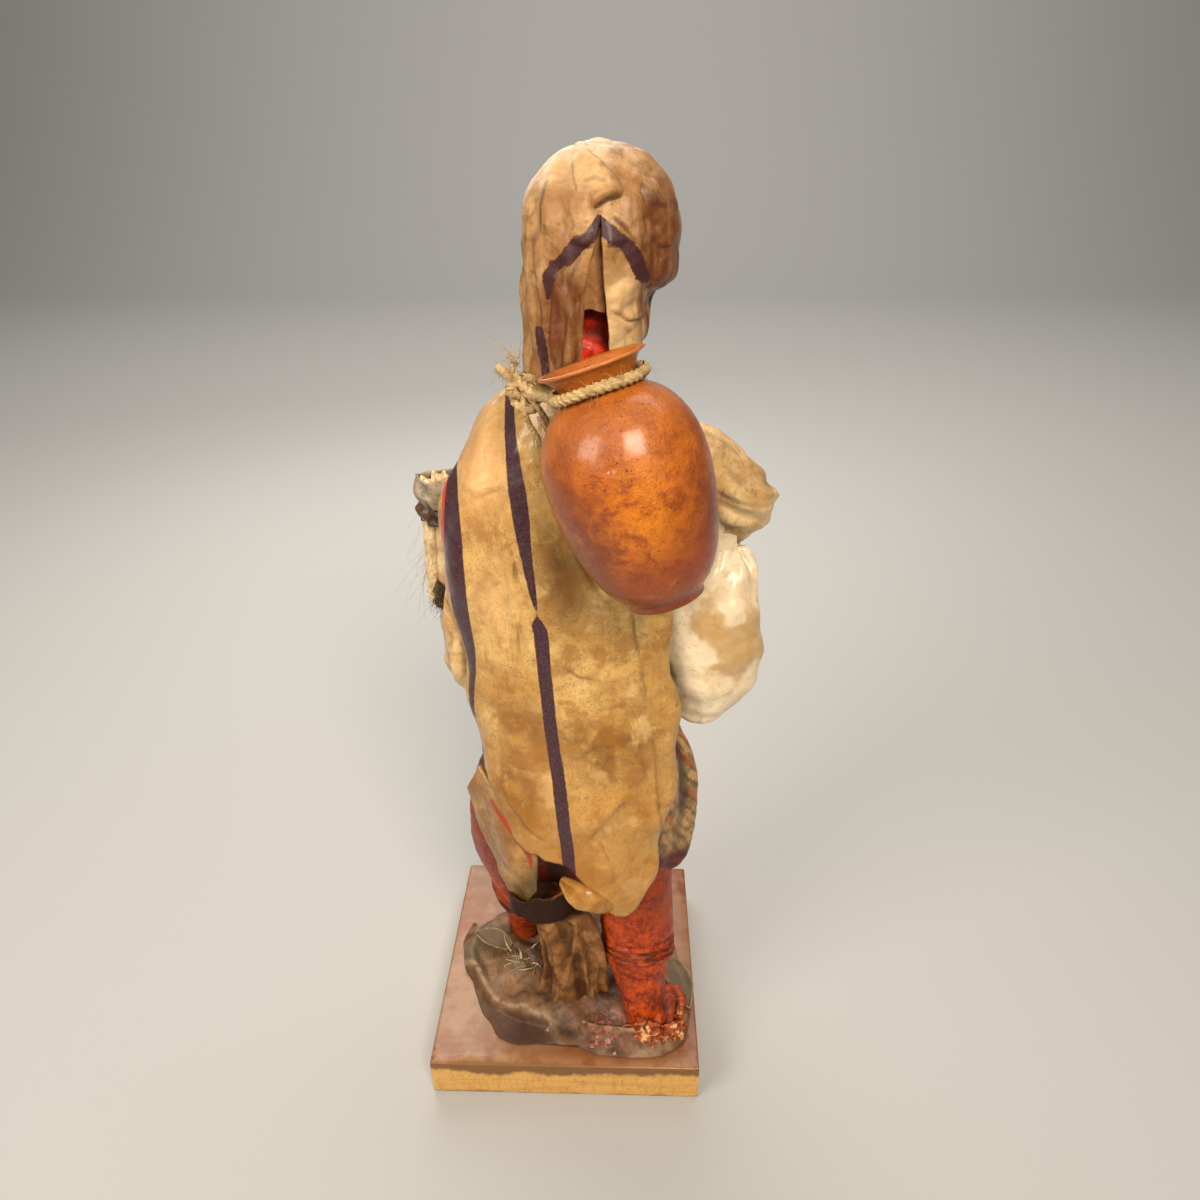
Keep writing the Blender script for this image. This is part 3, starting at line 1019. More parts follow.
# ---- smock and sleeves ------------------------------------------------------------------------------
# The tan garment: a tube of paper over the core with folds drawn to the hem, and two wide sleeves
# with long brown creases. The left hangs close to the body; the right is bent forward.
SMOCK = [[151, 5.5, 0, 27, 21.5], [160, 6, 0, 24.5, 19.5], [180, 7, -0.5, 23.5, 18.6],
         [210, 8, -1, 24.5, 18], [235, 9, -1, 26.6, 17.4], [247, 10, -1, 27, 15.6],
         [256, 11, -1.2, 22, 13], [264.5, 11.6, -1.4, 12.6, 10.6], [266, 11.8, -1.5, 9.4, 9]]


def smock_grid():
    """Stacked ellipses with slow flutes at the hem, creases drawn down to it and puckers at the shoulders."""
    a, z = turns(170), np.linspace(SMOCK[0][0], SMOCK[-1][0], 110)
    p = column(SMOCK, z, a)
    tall = z[:, None]
    low = smooth((236 - tall) / 50)
    height = 0.7 * low * np.sin(11 * a + 0.02 * tall) + 0.9 * bell(tall - 163, 4) * np.cos(6 * a)
    rng = np.random.default_rng(70)
    for _ in range(13):
        at, lean, width = rng.uniform(0, 2 * np.pi), rng.normal() * 0.004, rng.uniform(0.08, 0.2)
        start = rng.uniform(170, 245)
        near = half_turn(a - at - lean * (tall - 200))
        height = height + rng.uniform(0.7, 1.3) * fold(near, width, 0.3) * smooth((start - tall) / 18)
    shoulder = np.abs(np.cos(a)) * bell(tall - 240, 12)
    height = height + 0.9 * shoulder * np.sin(0.5 * tall + 3 * np.cos(a))
    height = height + 0.5 * crumple(p, 11, 71) + 0.15 * crumple(p, 4, 72)
    notch = smooth((5.2 - np.abs(p[..., 0] - 11.8)) / 1.6 - (262 - tall) / 9) * smooth(np.sin(a) * 3)
    height = height - 1.1 * notch
    height = height * smooth((266.5 - tall) / 6) * smooth((tall - 150.5) / 1.5)
    return raised(p, height), sunk(height, 1.8)


def tan_look(name, shift, light=(0.5, 0.33, 0.155), mid=(0.37, 0.225, 0.095), stain=(0.16, 0.08, 0.03)):
    f = Finish(name)
    colour, height, mottle = paper_look(f, light, mid, stain, 14, 9, shift=shift)
    return f.done(colour, 0.45 + (mottle - 0.5) * 0.4, f.bump(height, 0.3), coat=mottle * 0.45,
                  Coat_Roughness=0.2)


smock, smock_valley = smock_grid()
closed_grid("smock_body", smock, tan_look("smock_paper", 6.0), "smock_paper", ["smock"],
            {"valley": smock_valley})

LEFT_ARM = [[-10, -1, 247], [-21, -1, 232], [-26.6, 1, 200], [-28.6, 2.5, 176], [-27.5, 8, 164],
            [-30.5, 19, 171], [-35.4, 28, 186]]
LEFT_ARM_SIZE = [[0, 6, 6], [0.14, 7.4, 9.6], [0.36, 8.8, 11], [0.6, 10.4, 12], [0.74, 10, 11.5],
                 [0.88, 7.6, 8], [1, 6, 6]]
RIGHT_ARM = [[30, -1, 247], [43, -0.5, 242], [53.8, 3, 229], [52.6, 13, 219.5], [44, 24, 216],
             [34, 30.5, 214.5]]
RIGHT_ARM_SIZE = [[0, 7, 9], [0.2, 9, 11], [0.44, 11, 12.2], [0.62, 9.6, 10.4], [0.85, 7, 7.6], [1, 5.8, 6.2]]


def sleeve_grid(points, sizes, hint, seed, folds, deep, lobes=1.0):
    """A limb with long creases that run from shoulder to elbow, bunched inside the bend."""
    t, a = np.linspace(0, 1, 160), turns(120)
    p = limb(points, sizes, t, a, 0.0, hint)
    s = t[:, None]
    height = lobes * (0.8 * np.sin(6 * a + 15 * s) * smooth(s / 0.2) + 0.5 * np.sin(9 * a - 22 * s))
    rng = np.random.default_rng(seed)
    for _ in range(folds):
        at, drift, width = rng.uniform(0, 2 * np.pi), rng.uniform(-2.6, 2.6), rng.uniform(0.14, 0.34)
        middle, reach = rng.uniform(0.2, 0.8), rng.uniform(0.12, 0.3)
        near = half_turn(a - at - drift * (s - middle))
        ends = smooth((reach - np.abs(s - middle)) / 0.1)
        height = height + deep * rng.uniform(0.5, 1) * fold(near, width, 0.3) * ends
    cuff = smooth((s - 0.955) / 0.012)
    height = height + 0.45 * crumple(p, 8, seed + 1) + 0.14 * crumple(p, 3, seed + 2)
    height = height * (1 - 0.6 * cuff) - 0.4 * bell(s - 0.95, 0.008)
    height = height * smooth(s / 0.03) * smooth((1 - s) / 0.012)
    return raised(p, height), sunk(height, 1.9)


left_sleeve, left_valley = sleeve_grid(LEFT_ARM, LEFT_ARM_SIZE, (1, 0, 0), 80, 12, 1.3)
right_sleeve, right_valley = sleeve_grid(RIGHT_ARM, RIGHT_ARM_SIZE, (0, 0, 1), 90, 14, 0.6, 0.6)
sleeve_paper = tan_look("sleeve_paper", 9.0, (0.74, 0.52, 0.25), (0.5, 0.29, 0.11), (0.12, 0.05, 0.012))
closed_grid("sleeve_left", left_sleeve, sleeve_paper, "sleeve_paper", ["left_sleeve"],
            {"valley": left_valley})
closed_grid("sleeve_right", right_sleeve, sleeve_paper, "sleeve_paper", ["right_sleeve"],
            {"valley": right_valley})

# ---- hands ------------------------------------------------------------------------------------------
# Small brown hands, each a palm, four fingers and a thumb bent round what it holds: the bundle in the
# left, the end of the twine in the right.
BUNDLE_FOOT, BUNDLE_TOP = np.array([-39.6, 18.0, 184.0]), np.array([-38.4, 20.0, 229.0])


def on_bundle(t, x=0.0, y=0.0):
    """A place along the bundle, from 0 at its foot to 1 at its top, and off to its side."""
    t = np.asarray(t, float)[..., None]
    return BUNDLE_FOOT + (BUNDLE_TOP - BUNDLE_FOOT) * t + np.array([x, y, 0.0])


def hand_parts(wrist, grip, around):
    """Fingers follow an arc round the grip; the palm and thumb run up to it from the wrist."""
    wrist, grip = np.asarray(wrist, float), np.asarray(grip, float)
    hold = np.asarray(around, float) / np.linalg.norm(around)
    reach = (grip - wrist) / np.linalg.norm(grip - wrist)
    side_way = np.cross(hold, reach)
    side_way /= np.linalg.norm(side_way)
    reach = np.cross(side_way, hold)

    def at(r, s, h):
        return grip + reach * r + side_way * s + hold * h

    t, a = np.linspace(0, 1, 40), turns(20)
    parts = []
    palm_size = [[0, 3.7, 3.7], [0.5, 5.6, 3.7], [0.85, 6.2, 2.8], [1, 4.6, 1.2]]
    parts.append(limb([wrist, at(-6, -1, 0), at(-2.2, -1.6, 0)], palm_size, t, turns(40), 0.0, hold))
    finger_size = [[0, 1.5, 1.5], [0.5, 1.75, 1.7], [0.9, 1.45, 1.4], [1, 0.5, 0.5]]
    for k, h in enumerate((-4.8, -1.6, 1.6, 4.8)):
        bend = np.radians(np.array([190, 240, 290, 340, 385, 425 - 8 * k]))
        arc = [at(4.3 * np.cos(b), 4.0 * np.sin(b), h * (1 - 0.05 * i)) for i, b in enumerate(bend)]
        knuckle = 0.14 * np.cos(t * 9)[:, None]
        parts.append(limb(arc, finger_size, t, a, knuckle, hold))
    thumb = [at(-6, 1.4, 3.0), at(-3.4, 4.4, 4.2), at(-0.4, 5.6, 5.2), at(2.4, 5.2, 6.2)]
    thumb_size = [[0, 2.1, 2.1], [0.6, 1.9, 1.8], [0.92, 1.5, 1.4], [1, 0.4, 0.4]]
    parts.append(limb(thumb, thumb_size, t, a, 0.0, hold))
    return merged([fanned(raised(p, 0.1 * noise(p / 1.6, 44))) for p in parts])


left_spot = ([-36, 28.8, 187.5], on_bundle(0.36, 1.6, 3.4), BUNDLE_TOP - BUNDLE_FOOT)
right_spot = ([33, 31.2, 214.4], [20.4, 30.2, 218.2], [-0.62, -0.24, 0.74])
for name, spot, replaced in (("hand_left", left_spot, "left_hand"), ("hand_right", right_spot, "right_hand")):
    points, faces = hand_parts(*spot)
    unmarked = dict.fromkeys(("line", "lips", "valley"), np.zeros(len(points)))
    piece(name, points, faces, skin, "skin_paper", [replaced], unmarked)

# ---- bundle -----------------------------------------------------------------------------------------
# What the left hand holds: rolls of cream paper, bound with torn bark, capped by a folded paper cuff,
# with dark matted fibre and loose straw hanging below.
ROLLS = [[-3.6, -1.8, 2.6, 0.02, 0.97], [0.7, -2.2, 2.7, -0.02, 0.93], [-0.8, 2, 2.6, 0.05, 0.98],
         [3.3, 1, 2.3, 0.06, 0.96]]


def roll_grid(x, y, r, foot, top_end, seed):
    """A sheet rolled up: a spiral of nearly two turns carried up the bundle."""
    v, u = unit_grid(34, 80)
    a = u * 2 * np.pi * 1.85 + seed
    reach = r * (1 - 0.38 * u) * (1 + 0.05 * np.sin(2 * a + 5 * v))
    middle = on_bundle(foot + (top_end - foot) * v[:, 0], x, y)[:, None]
    ragged = 0.9 * np.sin(3 * a) * (v - 0.5) ** 3 * 8 + 0 * a
    off = np.stack([reach * np.cos(a), reach * np.sin(a), ragged], -1)
    p = middle + off
    height = 0.16 * crumple(p * [1, 1, 0.4], 3, int(seed * 7))
    return raised(p, height, False), sunk(height, 0.3)


def roll_finish():
    f = Finish("roll_paper")
    light, mid, stain = (0.88, 0.7, 0.44), (0.68, 0.49, 0.26), (0.26, 0.13, 0.05)
    colour, height, mottle = paper_look(f, light, mid, stain, 9, 7, shift=2.0)
    orange = f.noise(8, detail=3, shift=1.0).step(0.6, 0.7)
    colour = colour.blend((0.52, 0.2, 0.05), orange * 0.6)
    return f.done(colour, 0.6 + (mottle - 0.5) * 0.3, f.bump(height, 0.25), coat=0.1)


roll_paper = roll_finish()
for number, row in enumerate(ROLLS, 1):
    p, dips = roll_grid(*row, seed=1.3 * number)
    replaced = ["paper_rolls"] if number == 1 else []
    open_grid(f"paper_roll_{number}", p, roll_paper, "roll_paper", 0.45, replaced, {"valley": dips})


def wrap_grid(low, high, sizes, offset, ragged, seed):
    """An open tube round the rolls whose rims are torn or peaked."""
    a, v = turns(110), np.linspace(0, 1, 34)
    rim_low = ragged * 0.5 * (noise(np.stack([3 * np.cos(a), 3 * np.sin(a), 0 * a], -1), seed) - 0.3)
    rim_high = ragged * (noise(np.stack([2.2 * np.cos(a), 2.2 * np.sin(a), 0 * a + 4], -1), seed) + 0.2)
    t = (low + rim_low) + (high + rim_high - low - rim_low) * v[:, None]
    wide, tall = values_at(sizes, np.clip((t - low) / (high - low), 0, 1))
    ripple = 0.6 * np.cos(4 * a + 0.6 + 7 * v[:, None])
    middle = on_bundle(t, *offset)
    p = middle + np.stack([(wide + ripple) * np.cos(a), (tall + ripple) * np.sin(a), 0 * t], -1)
    height = 0.7 * crumple(p, 4.2, seed) + 0.25 * crumple(p, 1.8, seed + 1)
    p = raised(p, height)
    return np.concatenate([p, p[:, :1]], 1), sunk(np.concatenate([height, height[:, :1]], 1), 0.9)


cuff, cuff_valley = wrap_grid(0.79, 0.985, [[0, 6.8, 6.4], [0.5, 7.4, 6.8], [1, 7, 6.2]], (0, -0.4), 0.018,
                              101)
cuff_paper = tan_look("cuff_paper", 3.0, (0.34, 0.275, 0.19), (0.22, 0.165, 0.105), (0.085, 0.05, 0.03))
open_grid("folded_cuff", cuff, cuff_paper, "cuff_paper", 0.7, ["paper_cuff"], {"valley": cuff_valley})
bark, bark_valley = wrap_grid(0.69, 0.8, [[0, 6.2, 5.8], [0.5, 7.2, 6.6], [1, 6.6, 6.2]], (-0.2, -0.6),
                              0.07, 104)
bark_paper = tan_look("torn_bark", 5.0, (0.1, 0.05, 0.025), (0.05, 0.024, 0.012), (0.015, 0.007, 0.004))
open_grid("bark_binding", bark, bark_paper, "bark", 0.8, ["bark_band"], {"valley": bark_valley})


def fibre_parts():
    """A matted core under a coat of hairs, with long straws that curl out of it."""
    t, a = np.linspace(0, 1, 50), turns(80)
    path = [on_bundle(k, 1.6, -3) for k in (-0.08, 0.05, 0.2)]
    core = limb(path, [[0, 2.0, 2.0], [0.3, 5.2, 5.0], [0.7, 5.6, 5.4], [1, 4.6, 4.4]], t, a)
    core = raised(core, 0.8 * noise(core / 1.8, 110) + 0.5 * noise(core / 0.8, 111))
    parts = [(core, grid_faces(*core.shape[:2], True))]
    rng = np.random.default_rng(112)
    count = 620
    pick = core.reshape(-1, 3)[rng.integers(0, len(t) * len(a), count)]
    ways = pick - np.array(path[1])
    ways /= np.linalg.norm(ways, axis=1, keepdims=True)
    ways = ways * 0.6 + rng.normal(size=(count, 3)) * 0.5
    parts.append(hairs(pick, ways, rng.uniform(1, 3.4, count), 0.1, 113, droop=0.5))
    return merged(parts)


def straw_parts():
    """Straws that stand out to the left of the bundle and hang down."""
    rng, count = np.random.default_rng(120), 46
    roots = on_bundle(rng.uniform(0.1, 0.75, count), -4.5, -3.0) + rng.normal(size=(count, 3)) * 1.0
    ways = np.column_stack([rng.uniform(-0.75, 0.15, count), rng.uniform(-0.8, -0.1, count),
                            rng.uniform(-0.7, 0.6, count)])
    return hairs(roots, ways, rng.uniform(3, 11, count), 0.12, 121, segments=12, droop=0.9, bend=0.7)


def straw_finish(name, light, dark):
    f = Finish(name)
    tone = f.noise(2.5, detail=4, shift=2.0)
    return f.done(f.flat(dark).blend(light, tone.step(0.4, 0.65)), 0.8 - tone * 0.1, f.bump(tone, 0.15))


points, faces = fibre_parts()
matted = straw_finish("matted_fibre", (0.13, 0.075, 0.04), (0.03, 0.018, 0.012))
piece("matted_fibre", points, faces, matted, "fibre", ["fibre_pad"])
points, faces = straw_parts()
straw = straw_finish("straw", (0.68, 0.52, 0.27), (0.34, 0.22, 0.1))
piece("loose_straw", points, faces, straw, "roll_paper")

# ---- white bag --------------------------------------------------------------------------------------
# A bag of cream paper puffed out and gathered at its neck, hung under the right sleeve by a flat strap.
# Drips of brown varnish have stained it.
BAG = [[150.5, 45, -3, 4.5, 3], [153, 46.5, -3.5, 9, 5.5], [161, 49, -4, 13.2, 8.4],
       [174, 50, -4.4, 15.2, 10], [187, 49.8, -4.2, 15, 9.8], [198, 50.6, -3, 13.4, 8.2],
       [207, 52.4, -0.5, 10, 6], [212.5, 53, 1, 5.6, 3.4]]


def bag_grid():
    """Stacked ellipses, three-lobed, gathered in narrow pleats under the neck and dented at the foot."""
    a, z = turns(150), np.linspace(BAG[0][0], BAG[-1][0], 125)
    p = column(BAG, z, a)
    tall = z[:, None]
    high = smooth((tall - 192) / 18)
    height = 0.7 * np.sin(3 * a + 0.12 * tall) + 0.5 * high * np.sin(7 * a - 0.2 * tall)
    height = height + high * (0.5 * np.abs(np.sin(5 * a + 0.06 * tall)) - 0.3)
    height = height + 1.0 * crumple(p, 15, 130) + 0.3 * crumple(p, 7, 131)
    height = height - 0.7 * bell(tall - 156, 2.2) * bell(np.mod(a, 2 * np.pi) - 4.5, 0.8)
    return raised(p, height), sunk(height, 2.4)


def bag_finish():
    f = Finish("bag_paper")
    light, mid, stain = (0.85, 0.71, 0.51), (0.76, 0.6, 0.4), (0.55, 0.36, 0.16)
    colour, height, mottle = paper_look(f, light, mid, stain, 17, 16, 3.0, shift=2.0, dark=0.3)
    blot = f.noise(6.5, detail=2, rough=0.4, shift=4.0)
    pool = f.painted("pool") * 0.75 + (blot - 0.5)
    colour = colour.blend((0.44, 0.25, 0.075), pool.step(0.16, 0.5) * (0.5 + mottle * 0.6))
    colour = colour.blend((0.36, 0.2, 0.08), pool.step(0.28, 0.34) * pool.step(0.46, 0.37) * 0.2)
    drops = f.noise(2.4, detail=1, shift=8.0)
    colour = colour.blend((0.56, 0.38, 0.18), drops.step(0.63, 0.7) * 0.4)
    return f.done(colour, 0.34 + (mottle - 0.5) * 0.3, f.bump(height, 0.14), coat=0.25, Coat_Roughness=0.14)


bag, bag_valley = bag_grid()
bag_paper = bag_finish()
pool = 1.15 * bell(bag[..., 0] - 58, 8) * bell(bag[..., 2] - 184, 10)
pool = pool + 0.8 * bell(bag[..., 0] - 47, 5) * bell(bag[..., 2] - 193, 7)
closed_grid("bag_body", bag, bag_paper, "bag_paper", ["white_bag"],
            {"valley": bag_valley, "pool": np.clip(pool, 0, 1)})
strap_path, strap_size = [[52.4, 0.4, 207], [51, -3.6, 220], [49, -4.6, 234]], [[0, 4.4, 0.8], [1, 3.4, 0.8]]
strap = limb(strap_path, strap_size, np.linspace(0, 1, 50), turns(60), 0.0, (1, 0.25, 0))
strap = raised(strap, 0.25 * crumple(strap, 5, 133))
plain = np.zeros(strap.shape[:2])
closed_grid("bag_strap", strap, bag_paper, "bag_paper", painted={"valley": plain, "pool": plain})

# ---- cape -------------------------------------------------------------------------------------------
# One long sheet of tan paper laid over both shoulders and down the back, stiff with glossy varnish. A
# dark purple stripe runs down its middle and another down its left edge, which is lined with red.
CAPE = [[84, -14, -27, 6, -33, 27, -29], [100, -16, -25, 6, -32, 31, -27.5],
        [112, -17.5, -23, 6, -31, 34, -25], [131, -21.4, -18.5, 5, -29.5, 37, -22],
        [146, -26, -13, 5, -27, 38.5, -19], [166, -28.2, -9.5, 5, -25, 38, -19],
        [195, -31.5, -5, 6, -23.5, 34, -18], [209, -34.6, -2, 7, -22.6, 35, -16],
        [228, -33.2, 2.5, 8, -21.6, 38, -12], [241, -28, 4, 9, -20.2, 38, -9],
        [253, -20, 4, 10, -18.2, 34, -6.5], [261, -11.6, 3, 10.6, -16.4, 27, -4.4],
        [266.4, -4, 0.5, 11.4, -15, 21, -5.6]]
CAPE_TOP = CAPE[-1][0]
HEM = [[0, 118], [0.25, 112], [0.45, 107], [0.62, 93], [0.72, 86], [0.86, 88], [1, 103]]
STRIPE = [[84, 4.5, 2.1], [107, 3.4, 2.1], [139.5, 1, 2.1], [160, -1, 2.1], [180, -2.5, 2.1],
          [196, -3.2, 2.1], [199.5, -3.9, 1.7], [202, -4.2, 0.35], [205, -4.4, 0.45], [210, -5, 1.0],
          [224, -6.7, 1.9], [237, -7.9, 2.45], [250, -9.2, 1.8], [266.4, -10.7, 1.2]]
EDGE_STRIPE = [[140, -24.3, -24.9], [146, -24.6, -25.4], [158, -26.3, -27.6], [166, -26.4, -28.2],
               [176, -24.9, -27.4], [186, -24.5, -28.6], [195, -25.2, -30.6], [204, -25.5, -31.6],
               [212, -25.6, -32.4], [227, -25.6, -31.6], [236, -26.3, -30.4], [242, -27.4, -28.6]]
CAPE_LAPS = [([[-27, 238.5], [-20, 236.4], [-16, 238.6], [-9.8, 240.5]], 0.5, 4, 0.7),
             ([[-10.2, 172], [-11, 190], [-10.4, 206], [-11.4, 226]], 0.85, 1.9, 0.5),
             ([[-6.5, 190], [-8.2, 206], [-11.6, 222], [-13.4, 236]], 0.8, 2.2, 0.5),
             ([[20, 201], [13, 209], [7.4, 220], [6, 232]], 0.5, 4, 0.7),
             ([[27.5, 168], [25.5, 186], [23.2, 196], [22.5, 208]], 0.6, 5, 0.6),
             ([[14.5, 175], [18, 181], [25, 183.5], [31, 181]], 0.45, 6, 0.8),
             ([[2, 188], [8, 182.5], [15.5, 181], [21, 182]], 0.4, 6, 0.8),
             ([[23, 163.5], [14, 165.8], [5, 166.4], [-1, 169]], 0.5, 6, 0.8),
             ([[-3, 160], [-11, 163.2], [-19, 160.8], [-26, 162.5]], 0.5, 5, 0.8),
             ([[12, 155.5], [5, 154.8], [-1, 155.8]], 0.6, 3, 0.6),
             ([[29, 140], [26, 150], [19, 154.4], [9, 151.2]], 0.9, 5, 0.7),
             ([[0, 143.5], [-8, 143.2], [-16, 144.4], [-18.6, 141.6]], 0.9, 4, 0.6),
             ([[-18.6, 141.6], [-14.5, 131], [-8.2, 122.5], [-1.5, 117.6]], 1.2, 5, 0.7),
             ([[34.4, 116], [32, 131], [30.6, 148], [29.5, 160]], 0.9, 4, 0.5),
             ([[8, 118], [14, 128], [19, 134], [26, 138]], 0.5, 5, 1.0),
             ([[18, 100], [16, 110], [12, 120]], 0.6, 4, 0.8)]


def cape_grid():
    """Half ellipses stacked up from the hem, wide ones with their middle at the back."""
    v, u = unit_grid(172, 172)
    hem = between(HEM, u[0])[:, 0][None] + 0.8 * noise(np.stack([u * 26, 0 * u, 0 * u], -1), 140)
    z = hem + (CAPE_TOP - hem) * v
    xl, yl, xm, ym, xr, yr = values_at(CAPE, z)
    w = 2 * u - 1
    s, c = np.sin(np.abs(w) * np.pi / 2), np.cos(w * np.pi / 2)
    x = xm + (np.where(w < 0, xl, xr) - xm) * s
    p = np.stack([x, np.where(w < 0, yl, yr) + (ym - np.where(w < 0, yl, yr)) * c, z], -1)
    height = 0.9 * bell(x + 6 - 0.02 * (z - 200), 2.2) * smooth((225 - z) / 25) * smooth((z - 150) / 20)
    height = height + 0.8 * bell(z - 160 + 0.3 * (x - 10), 6) * bell(x - 18, 18)
    height = height + 1.4 * bell(x - 12, 9) * bell(z - 128 - 0.5 * (x - 12), 5)
    height = height + 2.6 * smooth((118 - z) / 30) * bell(x - 14, 16)
    height = height + 1.2 * np.sin(0.2 * z) * smooth((np.abs(w) - 0.6) / 0.4)
    dark = 0 * x
    for path, rise, reach, steep in CAPE_LAPS:
        up, under = lap(p, path, 1.5 * rise, 0.8 * reach, steep)
        height, dark = height + up, dark + under * (0.42 + 0.4 * noise(p / 5, 145))
    for at_x, at_z in ((5.5, 137), (26.6, 130.4), (9.5, 136.4)):
        ring = np.hypot(p[..., 0] - at_x, p[..., 2] - at_z)
        height = height + 0.45 * bell(ring - 1.3, 0.45)
        dark = dark + 0.6 * bell(ring - 0.7, 0.4)
    rise = np.minimum(smooth((z - hem) / 10), 1)
    facets = 1.05 * crumple(p * [1, 1, 0.6], 12, 141, 5) + 0.3 * crumple(p, 5, 142, 5)
    height = height + facets * (0.4 + 0.6 * rise)
    pucker = bell(z - 160, 9) * bell(x - 4, 30)
    height = height + 0.35 * pucker * crumple(p, 6, 143)
    p = raised(p, height, False)
    centre, half = values_at(STRIPE, p[..., 2])
    stripe = np.abs(p[..., 0] - centre) * 0.985 - half
    inner, outer = values_at(EDGE_STRIPE, p[..., 2])
    edge = np.maximum(p[..., 0] - inner, outer - p[..., 0])
    red = np.maximum(p[..., 0] - outer - 0.1, outer - 0.9 - p[..., 0])
    red = red + 4 * smooth((203 - z) / 5) + 4 * smooth((z - 237) / 4)
    damp = bell(x - 3, 7) * bell(z - 218, 18) + bell(x - 14, 16) * bell(z - 158, 8)
    damp = damp + 0.8 * bell(x + 12, 14) * bell(z - 164, 6)
    damp = damp + bell(x - 15, 7) * bell(z - 146, 7) + 0.8 * bell(z - 105, 9) * bell(x - 10, 10)
    damp = damp + 1.5 * bell(x + 14, 9) * bell(z - 132, 16) + 0.5 * bell(x - 26, 5) * bell(z - 140, 30)
    blush = bell(x + 20, 10) * bell(z - 246, 16) + 0.6 * bell(x + 18, 8) * bell(z - 205, 10)
    valley = np.clip(sunk(height, 2.2) * 0.75 + dark, 0, 1)
    return p, {"valley": valley, "stripe": stripe, "edge_stripe": edge, "red_edge": red,
               "damp": np.clip(damp, 0, 1), "blush": np.clip(blush, 0, 1)}


def purple_over(f, colour, distance, fray, shift):
    """A painted stripe: dark aubergine inside the line, worn pale along its wrinkles, ragged at its edge."""
    ragged = distance + (f.noise(1.1, detail=3, shift=shift) - 0.5) * fray
    dye = ragged.step(0.16, -0.16)
    grain = f.noise(0.7, detail=3, rough=0.7, shift=shift + 1)
    worn = f.noise(2.6, detail=6, rough=0.8, shift=shift + 2, stretch=(1, 1, 2.2))
    ink = f.flat((0.038, 0.013, 0.019)).blend((0.085, 0.032, 0.038), grain.step(0.42, 0.66))
    ink = ink.blend((0.24, 0.13, 0.09), worn.step(0.66, 0.74) * 0.5)
    return colour.blend(ink, dye), dye


def cape_finish():
    f = Finish("cape_paper")
    light, mid, stain = (0.62, 0.385, 0.125), (0.5, 0.275, 0.072), (0.2, 0.082, 0.016)
    colour, height, _ = paper_look(f, light, mid, stain, 20, 13, 0.9, shift=5.0, dark=0.6)
    pores = f.noise(0.55, detail=2, rough=0.8, shift=1.0)
    patch = f.noise(11, detail=4, shift=9.0)
    colour = colour.blend((0.11, 0.05, 0.016), pores.step(0.52, 0.66) * patch.step(0.3, 0.56) * 0.6)
    streaks = f.noise(7, detail=6, rough=0.62, stretch=(1, 1, 0.75), shift=7.0, warp=0.6)
    wet = f.painted("damp") * (streaks.step(0.28, 0.68) * 0.85 + 0.2)
    colour = colour.blend((0.14, 0.055, 0.01), wet)
    colour = colour.blend((0.36, 0.16, 0.03), streaks.step(0.52, 0.7) * 0.45)
    varnish = f.noise(13, detail=7, rough=0.66, shift=21.0, warp=0.25)
    colour = colour.blend((0.27, 0.105, 0.016), varnish.step(0.52, 0.62) * 0.6)
    colour = colour.blend((0.84, 0.58, 0.26), varnish.step(0.46, 0.34) * 0.42)
    run = f.noise(1.6, detail=4, rough=0.7, stretch=(1, 1, 0.16), shift=11.0)
    colour = colour.blend((0.3, 0.125, 0.02), run.step(0.54, 0.68) * 0.4)
    colour = colour.blend((0.74, 0.42, 0.2), f.painted("blush") * 0.55)
    tall = f.axis(2)
    colour = colour.blend((0.38, 0.155, 0.02), (tall + (patch - 0.5) * 60).step(190, 105) * 0.5)
    colour, dye = purple_over(f, colour, f.painted("stripe"), 0.5, 3.0)
    colour, _ = purple_over(f, colour, f.painted("edge_stripe"), 0.5, 5.0)
    red = f.painted("red_edge").step(0.1, -0.1)
    colour = colour.blend((0.55, 0.045, 0.02), red)
    rough = 0.33 + (patch - 0.5) * 0.3 + dye * 0.1
    coat = (0.1 + patch * 0.5) * (1 - f.painted("damp") * 0.8)
    return f.done(colour, rough, f.bump(height, 0.32), coat=coat, Coat_Roughness=0.14)


cape, cape_marks = cape_grid()
cape_paper = cape_finish()
open_grid("cape_sheet", cape, cape_paper, "cape_paper", 1.4, ["cape"], cape_marks)


def curl_grid():
    """The hem's corner rolled up on itself, wide at its left end and tight at its right."""
    u, v = np.linspace(0, 1, 60)[:, None], np.linspace(0, 1, 70)[None]
    a = -np.pi * (0.35 + 1.5 * v)
    r = (5.6 - 2.3 * u) * (1 - 0.25 * v)
    x = 3.5 + 17.5 * u - 3.2 * np.sin(a) * (1 - u) ** 2 + 0 * a
    p = np.stack([x, -34.6 + 4.6 * u**3 + r * np.cos(a), 98.8 - 8.4 * u + r * np.sin(a) * 1.05], -1)
    height = 1.0 * crumple(p, 6, 150, 4) + 0.3 * crumple(p, 3, 151)
    return raised(p, height, False), sunk(height, 1.1)


curl, curl_valley = curl_grid()
curl_damp = smooth((curl[..., 0] - 7) / 5) * 0.9
far = np.full(curl.shape[:2], 9.0)
curl_marks = {"valley": curl_valley, "damp": curl_damp, "blush": 0 * far}
curl_marks.update(dict.fromkeys(("stripe", "edge_stripe", "red_edge"), far))
open_grid("cape_curl", curl, cape_paper, "cape_paper", 0.9, painted=curl_marks)

